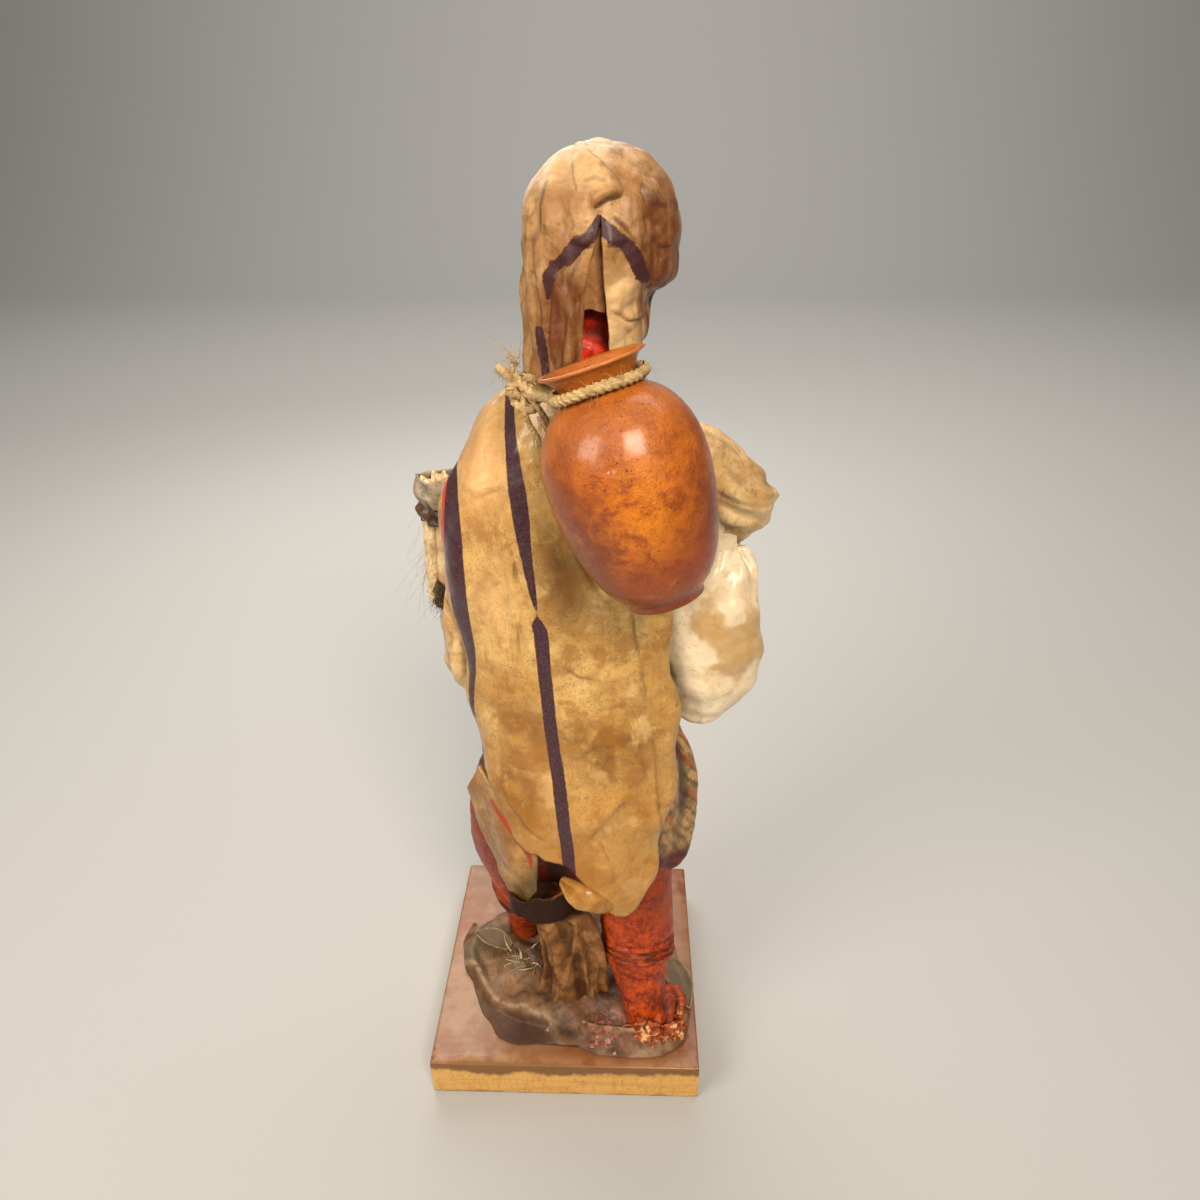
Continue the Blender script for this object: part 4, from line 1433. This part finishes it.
# ---- hips -------------------------------------------------------------------------------------------
# A wrap of cloth-like paper round the hips: dark red on the left, painted at the right with grey, black
# and red stripes that run down into deep folds. A beige strip with a red band crosses the left hip.
HIPS = [[84, 9.5, 1.5, 34, 22], [88, 8.8, 1.2, 37.5, 24], [98, 8, 1, 40, 25.6], [112, 7.4, 0.8, 40.6, 25.8],
        [124, 7.6, 0.4, 39.2, 25.2], [136, 8, 0, 35.6, 23.8], [150.6, 7.4, 0, 28, 21]]


def hips_grid():
    """Stacked ellipses with folds that slant down round them and, as values, the stripes that follow."""
    a, z = turns(210), np.linspace(HIPS[0][0], HIPS[-1][0], 96)
    p = column(HIPS, z, a)
    tall = z[:, None]
    height = 1.2 * np.sin(7 * a - 0.085 * tall) * smooth((150 - tall) / 14)
    height = height + 0.7 * np.sin(15 * a - 0.12 * tall) * smooth((tall - 84) / 8)
    height = height + 0.7 * crumple(p * [1, 1, 0.5], 9, 160) + 0.2 * crumple(p, 3.4, 161)
    height = height * smooth((151 - tall) / 2)
    drift = 38 * a + 0.55 * tall + 4 * noise(p / 11, 162)
    lines = smooth((np.sin(drift * 1.25) - 0.45) / 0.4) * (0.5 + 0.5 * noise(p / 7, 163))
    reds = smooth((np.sin(drift * 0.62 + 1.3) - 0.55) / 0.3) * smooth(noise(p / 9, 164) + 0.75)
    grey = smooth((p[..., 0] - 22) / 12) * smooth((p[..., 2] - 92 - 0.35 * (44 - p[..., 0])) / 7)
    grey = np.maximum(grey, 0.85 * smooth((p[..., 1] - 3) / 10))
    marks = {"valley": sunk(height, 2.4), "lines": np.clip(lines, 0, 1), "reds": np.clip(reds, 0, 1)}
    return raised(p, height), {**marks, "grey": grey}


def hips_finish():
    f = Finish("hip_paper")
    wear = f.noise(5, detail=6, rough=0.7, shift=1.0, warp=0.5)
    fine = f.noise(1.1, detail=4, rough=0.7, shift=3.0)
    plum = f.flat((0.13, 0.011, 0.004)).blend((0.06, 0.008, 0.005), wear.step(0.42, 0.62))
    cloth = f.flat((0.48, 0.29, 0.115)).blend((0.2, 0.115, 0.045), wear.step(0.4, 0.64))
    cloth = cloth.blend((0.42, 0.04, 0.012), f.painted("reds") * 0.95)
    cloth = cloth.blend((0.016, 0.012, 0.009), f.painted("lines") * 0.95)
    colour = plum.blend(cloth, f.painted("grey"))
    colour = colour.blend((0.02, 0.012, 0.008), f.painted("valley").step(0.5, 1.0) * 0.85)
    colour = colour.blend((0.06, 0.04, 0.025), fine.step(0.56, 0.7) * 0.4)
    return f.done(colour, 0.5 + (wear - 0.5) * 0.3, f.bump(fine * 0.3 + wear * 0.5, 0.3), coat=0.15)


hips, hip_marks = hips_grid()
closed_grid("hips", hips, hips_finish(), "hip_paper", ["hip_cloth"], hip_marks)

DRAPE_LOW = [[-34, -4, 117], [-27.5, -13, 101], [-22, -18.5, 88], [-14.5, -21.5, 76]]
DRAPE_HIGH = [[-28, -13, 135], [-19.5, -21.5, 127], [-9, -27, 112], [-8.5, -26, 90]]


def drape_grid():
    """A strip between two curves, bellied out along its length."""
    u, v = np.linspace(0, 1, 90), np.linspace(0, 1, 44)[:, None, None]
    low, high = curve(DRAPE_LOW, u)[None], curve(DRAPE_HIGH, u)[None]
    bulge = 1.8 * np.sin(np.pi * v[..., 0]) + 0.7 * np.sin(9 * u + 5 * v[..., 0])
    p = low + (high - low) * v + bulge[..., None] * np.array([-0.4, -1, 0])
    height = 0.6 * crumple(p, 8, 170) + 0.5 * fold(v[..., 0] - 0.55 - 0.1 * np.sin(5 * u), 0.3, 0.3)
    red = bell(v[..., 0] - 0.93 + 0.12 * u, 0.045) * smooth((u - 0.2) / 0.12) * smooth((0.85 - u) / 0.1)
    marks = {"valley": sunk(height, 1.1), "red": red, "green": smooth((u - 0.62) / 0.3) + 0 * v[..., 0]}
    return raised(p, height, False), marks


def drape_finish():
    f = Finish("drape_paper")
    light, mid, stain = (0.44, 0.235, 0.07), (0.27, 0.125, 0.033), (0.1, 0.04, 0.01)
    colour, height, mottle = paper_look(f, light, mid, stain, 11, 7, shift=3.0)
    colour = colour.blend((0.09, 0.055, 0.012), f.painted("green") * (0.55 + mottle * 0.7))
    smear = f.painted("red") * (0.35 + mottle * 1.2)
    colour = colour.blend((0.34, 0.04, 0.012), smear.step(0.2, 0.55))
    return f.done(colour, 0.42 + (mottle - 0.5) * 0.4, f.bump(height, 0.3), coat=0.15, Coat_Roughness=0.18)


drape, drape_marks = drape_grid()
open_grid("drape", drape, drape_finish(), "drape_paper", 1.8, ["hip_drape"], drape_marks)

# ---- legs -------------------------------------------------------------------------------------------
# Red paper legs, each wound below the knee with a strip whose turns lap like a bandage, on small feet.
# The near foot is hidden by torn orange and cream paper.
RIGHT_LEG = [[25, -3, 104], [26.5, -10, 82], [27.2, -15, 62], [28, -20, 48], [29.6, -26.5, 34],
             [31, -32, 19.35]]
RIGHT_LEG_SIZE = [[0, 13, 12], [0.25, 13.2, 12.2], [0.42, 14, 12.8], [0.5, 12.8, 11.8], [0.58, 12.6, 11.8],
                  [0.66, 11.2, 10.6], [0.84, 8.2, 8], [1, 6.2, 6.4]]
LEFT_LEG = [[-19.5, 3, 113], [-20.2, 5, 96], [-20.4, 6.5, 78], [-20.2, 8, 60], [-20, 10, 42],
            [-20, 12, 19.35]]
LEFT_LEG_SIZE = [[0, 15.5, 14], [0.22, 17.2, 15.5], [0.42, 16.2, 14.5], [0.6, 13, 12], [0.78, 10.4, 10],
                 [1, 7, 7]]
FLOOR = 19.1
FOOT_SIZE = [[0, 5, 4.2], [0.15, 6.8, 6.2], [0.45, 6.6, 6.4], [0.8, 6.4, 4.6], [1, 3.6, 3]]


def wound(t, a, low, high, count, tilt):
    """Height and shadow of a strip wound round a leg: each turn starts proud and thins towards the next."""
    w = np.clip((t - low - tilt * np.cos(a + 0.6)) / (high - low), 0, 1)
    inside = (w > 0) & (w < 1)
    turn = np.mod(w * count, 1)
    up = 1.5 * (1 - turn) * smooth(turn / 0.07) * inside
    shade = 1.2 * np.maximum(bell(turn, 0.1), bell(turn - 1, 0.1))
    return up, shade * smooth(w * count * 6) * smooth((1 - w) * count * 6)


def leg_grid(points, sizes, wrap, seed, lobes):
    """A limb with its own lobes and a strip wound round it, stopped at the board."""
    t, a = np.linspace(0, 1, 150), turns(110)
    p = limb(points, sizes, t, a)
    s = t[:, None]
    up, shade = wound(s, a, *wrap)
    height = lobes(s, a) + up + 0.5 * crumple(p, 8, seed) + 0.16 * crumple(p, 3, seed + 1)
    p = raised(p, height)
    p[..., 2] = np.maximum(p[..., 2], FLOOR)
    return p, np.clip(sunk(height - up, 2.2) * 0.7 + shade, 0, 1)


def foot_grid(heel, toe, seed):
    """A short limb from heel to toe, creased across and flat below."""
    heel, toe = np.array(heel, float), np.array(toe, float)
    t, a = np.linspace(0, 1, 60), turns(70)
    p = limb([heel + (toe - heel) * k for k in (0, 0.35, 0.7, 1)], FOOT_SIZE, t, a)
    height = 0.5 * np.sin(5 * a + 14 * t[:, None]) + 0.5 * crumple(p, 5, seed)
    p = raised(p, height)
    p[..., 2] = np.maximum(p[..., 2], FLOOR)
    return p, sunk(height, 1.0)


f, colour, height, glow = red_look("red_paper", 0.0)
tall = f.axis(2)
colour = colour.blend((0.16, 0.02, 0.003), (tall + (glow - 0.5) * 40).step(58, 82) * 0.5)
red_paper = f.done(colour, 0.46 + (glow - 0.5) * 0.3, f.bump(height, 0.32), coat=0.1, Coat_Roughness=0.16,
                   Specular_IOR_Level=0.3)
leg, shade = leg_grid(RIGHT_LEG, RIGHT_LEG_SIZE, (0.485, 0.6, 3, 0.012), 180,
                      lambda s, a: 0.5 * np.sin(4 * a + 9 * s) * smooth((0.5 - s) / 0.3))
closed_grid("leg_right", leg, red_paper, "red_paper", ["right_leg"], {"valley": shade})
leg, shade = leg_grid(LEFT_LEG, LEFT_LEG_SIZE, (0.66, 0.8, 2, 0.02), 190,
                      lambda s, a: 1.3 * np.cos(2 * a - 2.6) * smooth((s - 0.3) / 0.3))
closed_grid("leg_left", leg, red_paper, "red_paper", ["left_leg"], {"valley": shade})
for name, heel, toe, seed in (("foot_right", [32.6, -37, 23.8], [43.5, -18, 22], 200),
                              ("foot_left", [-20, 6, 24.4], [-23.5, 33, 22.6], 205)):
    foot, shade = foot_grid(heel, toe, seed)
    closed_grid(name, foot, red_paper, "red_paper", painted={"valley": shade})


def blades(roots, ways, lengths, wide, seed, bend=0.4, blunt=0.8):
    """Torn strips of paper, each a flat four-sided taper that bends away from its root."""
    rng = np.random.default_rng(seed)
    n, segments, droop = len(roots), 5, 0.2
    t = np.linspace(0, 1, segments + 1)[None, :, None]
    way = ways[:, None] + rng.normal(size=(n, 1, 3)) * bend * t + np.array([0, 0, -droop]) * t
    spine = roots[:, None] + way * t * np.asarray(lengths)[:, None, None]
    across = np.cross(ways, rng.normal(size=(n, 3)))
    across /= np.linalg.norm(across, axis=1, keepdims=True)
    out = np.cross(ways, across)
    spread = (np.asarray(wide)[:, None] * (1 - blunt * t[..., 0] ** 2))[..., None, None]
    ring = np.array([[1, 0], [0, 0.12], [-1, 0], [0, -0.12]])
    section = ring[:, :1] * across[:, None, None] + ring[:, 1:] * out[:, None, None]
    points = spine[:, :, None] + spread * section
    return points.reshape(-1, 3), tuft_faces(n, segments, 4)


rng = np.random.default_rng(210)
count = 46
around = rng.uniform(-2.6, 0.2, count)
roots = np.column_stack([36.8 + 6.5 * np.cos(around), -33 + 6 * np.sin(around), rng.uniform(24, 32, count)])
ways = np.column_stack([np.cos(around) * 0.5 + 0.3 * np.sin(around), np.sin(around) * 0.5,
                        rng.uniform(-1.1, -0.3, count)])
points, faces = blades(roots, ways, rng.uniform(3, 5.6, count), rng.uniform(1.4, 2.8, count), 211,
                       bend=0.35, blunt=0.35)
points[:, 2] = np.maximum(points[:, 2], FLOOR)


def torn_finish():
    f = Finish("torn_paper")
    pick = f.noise(2.6, detail=2, shift=1.0)
    fine = f.noise(1.2, detail=4, rough=0.7, shift=3.0)
    colour = f.flat((0.4, 0.08, 0.015)).blend((0.7, 0.42, 0.2), pick.step(0.5, 0.6))
    colour = colour.blend((0.16, 0.028, 0.01), pick.step(0.44, 0.38))
    colour = colour.blend((0.06, 0.02, 0.01), fine.step(0.54, 0.68) * 0.7)
    return f.done(colour, 0.5 + (fine - 0.5) * 0.3, f.bump(fine, 0.2), coat=0.3)


piece("torn_paper", points, faces, torn_finish(), "red_paper", smooth_shaded=False)

# ---- stump ------------------------------------------------------------------------------------------
# The prop the figure sits against: a column of folded brown paper with a dark panel round its top, open
# above, where the paper inside is orange.
STUMP = [[19.1, 1, -16.5, 13.4, 8.6], [27, 1.4, -17.5, 11.8, 8], [38, 1.6, -18, 10.4, 7.2],
         [52, 1, -18.6, 10.4, 7], [64, -0.6, -19, 10.4, 6.8], [71, -1.8, -19.4, 10.6, 6.8],
         [74, -6, -21, 11.6, 7.4], [82, -7, -21.6, 12.4, 7.2], [88.5, -7.4, -21.6, 12.6, 7.4]]
STUMP_CUP = [[79, -6.8, -21, 8, 3.4], [84, -7, -21.2, 10.4, 5.4], [88.5, -7.4, -21.6, 11.6, 6.5]]


def stump_grid():
    """Up the outside, over the rim and down inside the open top."""
    a = turns(150)
    up, down = np.linspace(STUMP[0][0], STUMP[-1][0], 115), np.linspace(88.3, 79, 22)
    outside, inside = column(STUMP, up, a), column(STUMP_CUP, down, a)
    tall = up[:, None]
    panel = smooth((tall - 71) / 4)
    height = (1.3 * np.cos(4 * a + 0.03 * tall) + 0.6 * np.sin(9 * a + 0.1 * tall)) * (1 - panel)
    rng = np.random.default_rng(220)
    for _ in range(9):
        at, lean, width = rng.uniform(3.3, 6.2), rng.normal() * 0.012, rng.uniform(0.18, 0.4)
        near = half_turn(a - at - lean * (tall - 48))
        height = height + rng.uniform(0.8, 1.6) * fold(near, width, 0.25) * (1 - panel)
    height = height + (0.8 + 0.5 * panel) * crumple(outside * [1, 1, 0.5], 7, 221)
    height = height + 0.15 * crumple(outside, 3, 222) - 1.2 * bell(tall - 73, 1.6)
    marks_out = sunk(height - 0.5 * (1 - panel), 1.8)
    p = np.concatenate([raised(outside, height), inside])
    sag = 1.6 * bell(np.mod(a, 2 * np.pi) - 5.6, 0.9)[None] * smooth((p[..., 2] - 80) / 8)
    sag = sag + (1.5 * noise(p / 4.5, 224) + 0.8 * noise(p / 1.6, 225)) * smooth((p[..., 2] - 84) / 4)
    tilt = 0.4 * (p[..., 0] + 6) * smooth((p[..., 2] - 70) / 12)
    p[..., 2] = p[..., 2] - sag + tilt
    shape = (len(down), len(a))
    return p, {"valley": np.concatenate([marks_out, np.zeros(shape)]),
               "panel": np.concatenate([panel + 0 * a, np.zeros(shape)]),
               "inside": np.concatenate([smooth((tall - 87.4) / 1.0) + 0 * a, np.ones(shape)])}


def stump_finish():
    f = Finish("stump_paper")
    light, mid, stain = (0.34, 0.16, 0.058), (0.17, 0.07, 0.024), (0.055, 0.018, 0.006)
    colour, height, mottle = paper_look(f, light, mid, stain, 10, 7, shift=7.0)
    colour = colour.blend((0.022, 0.0065, 0.002), (f.painted("panel") * (0.92 + mottle * 0.2)).capped())
    x = f.axis(0)
    lit = (x + (mottle - 0.5) * 8).step(-5, 1) * mottle.step(0.34, 0.54)
    colour = colour.blend((0.04, 0.014, 0.005), f.painted("inside"))
    colour = colour.blend((0.5, 0.13, 0.014), f.painted("inside") * lit)
    return f.done(colour, 0.55 + (mottle - 0.5) * 0.4, f.bump(height, 0.36), coat=0.03,
                  Specular_IOR_Level=0.15)


stump, stump_marks = stump_grid()
closed_grid("stump_column", stump, stump_finish(), "stump_paper", ["stump"], stump_marks)

# ---- ground -----------------------------------------------------------------------------------------
# Crumpled grey-brown paper glued to the board round the feet, its rim curled up at the left and laid
# flat in front, with torn leaves, a few grass ends and pinkish grit stuck on.
RIM = [[0, 49, 5], [40, 43, 4], [80, 38, 3.5], [120, 34, 4], [160, 46, 6], [180, 48, 9], [205, 45, 8],
       [235, 47, 7], [262, 43, 8], [290, 43, 7.5], [315, 45, 6], [335, 51, 5.5], [360, 49, 5]]

RIDGE = [[-52, -4], [-40, -12], [-31, -25], [-22, -29.5], [-8, -33], [0, -46]]


def ground_grid():
    """Rings that shrink from the rim to the middle while they climb to a low top."""
    a = turns(200)
    f = np.concatenate([[1.0], np.linspace(1, 0.02, 88)])[:, None]
    reach, high = between(RIM, np.degrees(a)).T[:, None]
    ragged = 1.1 * noise(np.stack([7 * np.cos(a), 7 * np.sin(a), 0 * a], -1), 230)
    x = 0.97 * (reach - 2 + ragged) * f * np.cos(a)
    y = (reach - 4 + ragged) * f * np.sin(a) - 2
    flat = np.stack([x, y, 0 * x], -1)
    soft = smooth(3 * (1 - f))
    rise = 1.2 + high * (1 - f**2.4) + (1.1 * np.sin(5 * a + 7 * f) + 0.9 * np.sin(11 * a - 9 * f)) * soft
    rough = 1.5 * crumple(flat, 12, 231) + 0.7 * crumple(flat, 5, 232) + 0.2 * crumple(flat, 2.4, 233)
    curled = bell(np.degrees(a) - 186, 24) * bell(f - 0.93, 0.07)
    pit = bell(x + 12, 8) * bell(y + 37, 5.5)
    ridge = line_over(np.stack([x, 0 * x, y], -1), RIDGE)[0]
    outside = smooth((1.5 - ridge) / 2.5) * smooth((-x - 2) / 6)
    rise = rise + 0.8 * bell(ridge - 2.5, 3) * smooth(-x / 8) * (0.4 + 0.8 * noise(flat / 6, 236))
    rise = rise + rough * (0.25 + 0.75 * soft) + 4.2 * curled - 5.5 * pit * soft
    rise = rise * (1 - 0.85 * outside)
    z = 19.2 + np.maximum(rise, 0.15)
    z[0] = FLOOR
    olive = bell(np.degrees(a) - 184, 30) * smooth((f - 0.7) / 0.2)
    pink = bell(x - 16, 9) * bell(y + 34, 6) + 0.6 * bell(x + 8, 7) * bell(y + 12, 6)
    hollow = 1.4 * bell(x + 14, 6) * bell(y + 7, 5) + bell(x - 15, 4) * bell(y + 22, 9)
    torn = 0.55 * bell(ridge - 1.8, 0.9) * smooth(-x / 8)
    marks = {"valley": np.clip(sunk(rough, 1.6) + pit + hollow, 0, 1), "olive": olive * (1 - outside),
             "pink": np.clip(pink, 0, 1), "outside": outside, "torn": torn}
    return np.stack([x, y, z], -1), marks


def ground_finish():
    f = Finish("ground_paper")
    light, mid, stain = (0.24, 0.125, 0.06), (0.12, 0.056, 0.025), (0.035, 0.015, 0.007)
    colour, height, mottle = paper_look(f, light, mid, stain, 13, 8, 1.3, shift=4.0)
    haze = f.noise(9, detail=4, shift=6.0)
    colour = colour.blend((0.3, 0.19, 0.125), haze.step(0.52, 0.68) * 0.35)
    colour = colour.blend((0.11, 0.09, 0.05), f.painted("olive") * (0.25 + mottle * 0.7))
    speck = f.noise(1.7, detail=4, rough=0.7, shift=2.0)
    colour = colour.blend((0.5, 0.33, 0.19), f.painted("torn") * mottle.step(0.38, 0.56) * 0.9)
    colour = colour.blend((0.055, 0.02, 0.01), f.painted("outside") * (0.4 + haze * 0.6))
    colour = colour.blend((0.42, 0.12, 0.09), f.painted("pink") * speck.step(0.46, 0.6) * 0.7)
    return f.done(colour, 0.55 + (mottle - 0.5) * 0.4, f.bump(height, 0.4), coat=0.06, Coat_Roughness=0.25)


ground, ground_marks = ground_grid()
ground_paper = ground_finish()
closed_grid("ground", ground, ground_paper, "ground_paper", ["paper_ground"], ground_marks)


def skirt_grid(path, wide, high, seed):
    """A flap of the ground paper laid along a path on the board, its outer edge down, its inner edge up."""
    u, v = np.linspace(0, 1, 110), np.linspace(0, 1, 22)[:, None]
    edge = curve(np.column_stack([np.array(path, float), np.zeros(len(path))]), u)
    way = np.gradient(edge, axis=0)
    way /= np.linalg.norm(way, axis=1, keepdims=True)
    inward = np.column_stack([-way[:, 1], way[:, 0], 0 * u])
    ends = np.sin(np.pi * np.clip(u * 1.02, 0, 1)) ** 0.4
    p = edge[None] + inward[None] * (wide * v * ends)[..., None]
    rough = 1.1 * crumple(p, 8, seed) + 0.4 * crumple(p, 3, seed + 1)
    p[..., 2] = 19.75 + (high * np.sin(v * np.pi / 2) + np.maximum(rough, -0.5) * smooth(v * 3)) * ends
    plain = 0 * u + 0 * v
    pink, torn = bell(p[..., 0] - 17, 8) * bell(v - 0.8, 0.5), 0.8 * bell(v - 0.95, 0.12) + plain
    return p, {"valley": sunk(rough, 1.3), "olive": plain, "pink": pink, "outside": plain, "torn": torn}


SKIRT = [[-8, -35], [0, -38], [11, -43.5], [24, -45], [38, -43.5], [46, -37], [48.4, -27]]
LIP = [[-44, 14], [-46.5, 4], [-43, -6], [-36, -17], [-29.5, -26], [-21, -31]]
for name, path, wide, high, seed in (("ground_skirt", SKIRT, 10, 3.2, 240), ("ground_lip", LIP, 9, 4.2, 245)):
    skirt, marks = skirt_grid(path, wide, high, seed)
    open_grid(name, skirt, ground_paper, "ground_paper", 0.7, painted=marks)


def leaf_grid(root, tip, wide, lift, seed):
    """A pointed torn leaf, cupped along its middle."""
    u, v = np.linspace(0, 1, 40)[:, None], np.linspace(-1, 1, 22)[None]
    root, tip = np.array(root, float), np.array(tip, float)
    across = np.cross([0, 0, 1.0], (tip - root) / np.linalg.norm(tip - root))
    breadth = wide * np.sin(np.pi * (0.12 + 0.88 * u)) ** 0.8
    p = root + (tip - root) * u[..., None] + across * (breadth * v)[..., None]
    p[..., 2] += lift * np.sin(np.pi * u) + 1.1 * v * v + 0.5 * crumple(p, 6, seed)
    plain = 0 * u + 0 * v
    return p, {"valley": bell(v, 0.12) * 0.9 + plain, "olive": plain + 0.9, "pink": plain, "outside": plain,
               "torn": 0.6 * bell(np.abs(v) - 0.96, 0.08) + plain}


for name, root, tip, wide, lift, seed in (("leaf_right", [42, -4, 21.4], [48.6, -25, 20.2], 5.2, 1.0, 250),
                                          ("leaf_left", [-25, -4, 28], [-41, 4, 26.5], 4.2, 1.6, 252)):
    leaf, marks = leaf_grid(root, tip, wide, lift, seed)
    open_grid(name, leaf, ground_paper, "ground_paper", 0.5, painted=marks)

rng = np.random.default_rng(260)
count = 26
roots = np.column_stack([rng.normal(-20, 3, count), rng.normal(-9, 2, count), rng.uniform(26.5, 28.5, count)])
ways = np.column_stack([rng.normal(0, 0.8, count), rng.normal(-0.2, 0.6, count), rng.uniform(0.2, 1, count)])
points, faces = blades(roots, ways, rng.uniform(2.5, 6, count), rng.uniform(0.25, 0.7, count), 261)
grass = straw_finish("grass", (0.62, 0.52, 0.34), (0.34, 0.27, 0.14))
piece("grass_ends", points, faces, grass, "ground_paper")

lumps, rows, columns = [], 10, 14
for number in range(22):
    size = rng.uniform(0.6, 1.6)
    spot = np.array([rng.normal(15, 6), rng.normal(-38, 3.2), 21.2 + 0.3 * size])
    a, t = turns(columns), np.linspace(0.02, 0.98, rows)[:, None] * np.pi
    ball = np.stack([np.sin(t) * np.cos(a), np.sin(t) * np.sin(a), -np.cos(t) * 0.7 + 0 * a], -1)
    ball = spot + ball * size * (1 + 0.35 * noise(ball * 1.7 + number * 5, 262)[..., None])
    lumps.append((ball, grid_faces(rows, columns, True)))
points, faces = merged(lumps)


def grit_finish():
    f = Finish("pink_grit")
    pick = f.noise(2.2, detail=3, shift=3.0)
    colour = f.flat((0.3, 0.09, 0.06)).blend((0.5, 0.28, 0.22), pick.step(0.45, 0.6))
    colour = colour.blend((0.1, 0.06, 0.04), pick.step(0.42, 0.34))
    return f.done(colour, 0.4 + (pick - 0.5) * 0.3, f.bump(pick, 0.2), coat=0.4)


piece("grit", points, faces, grit_finish(), "ground_paper")
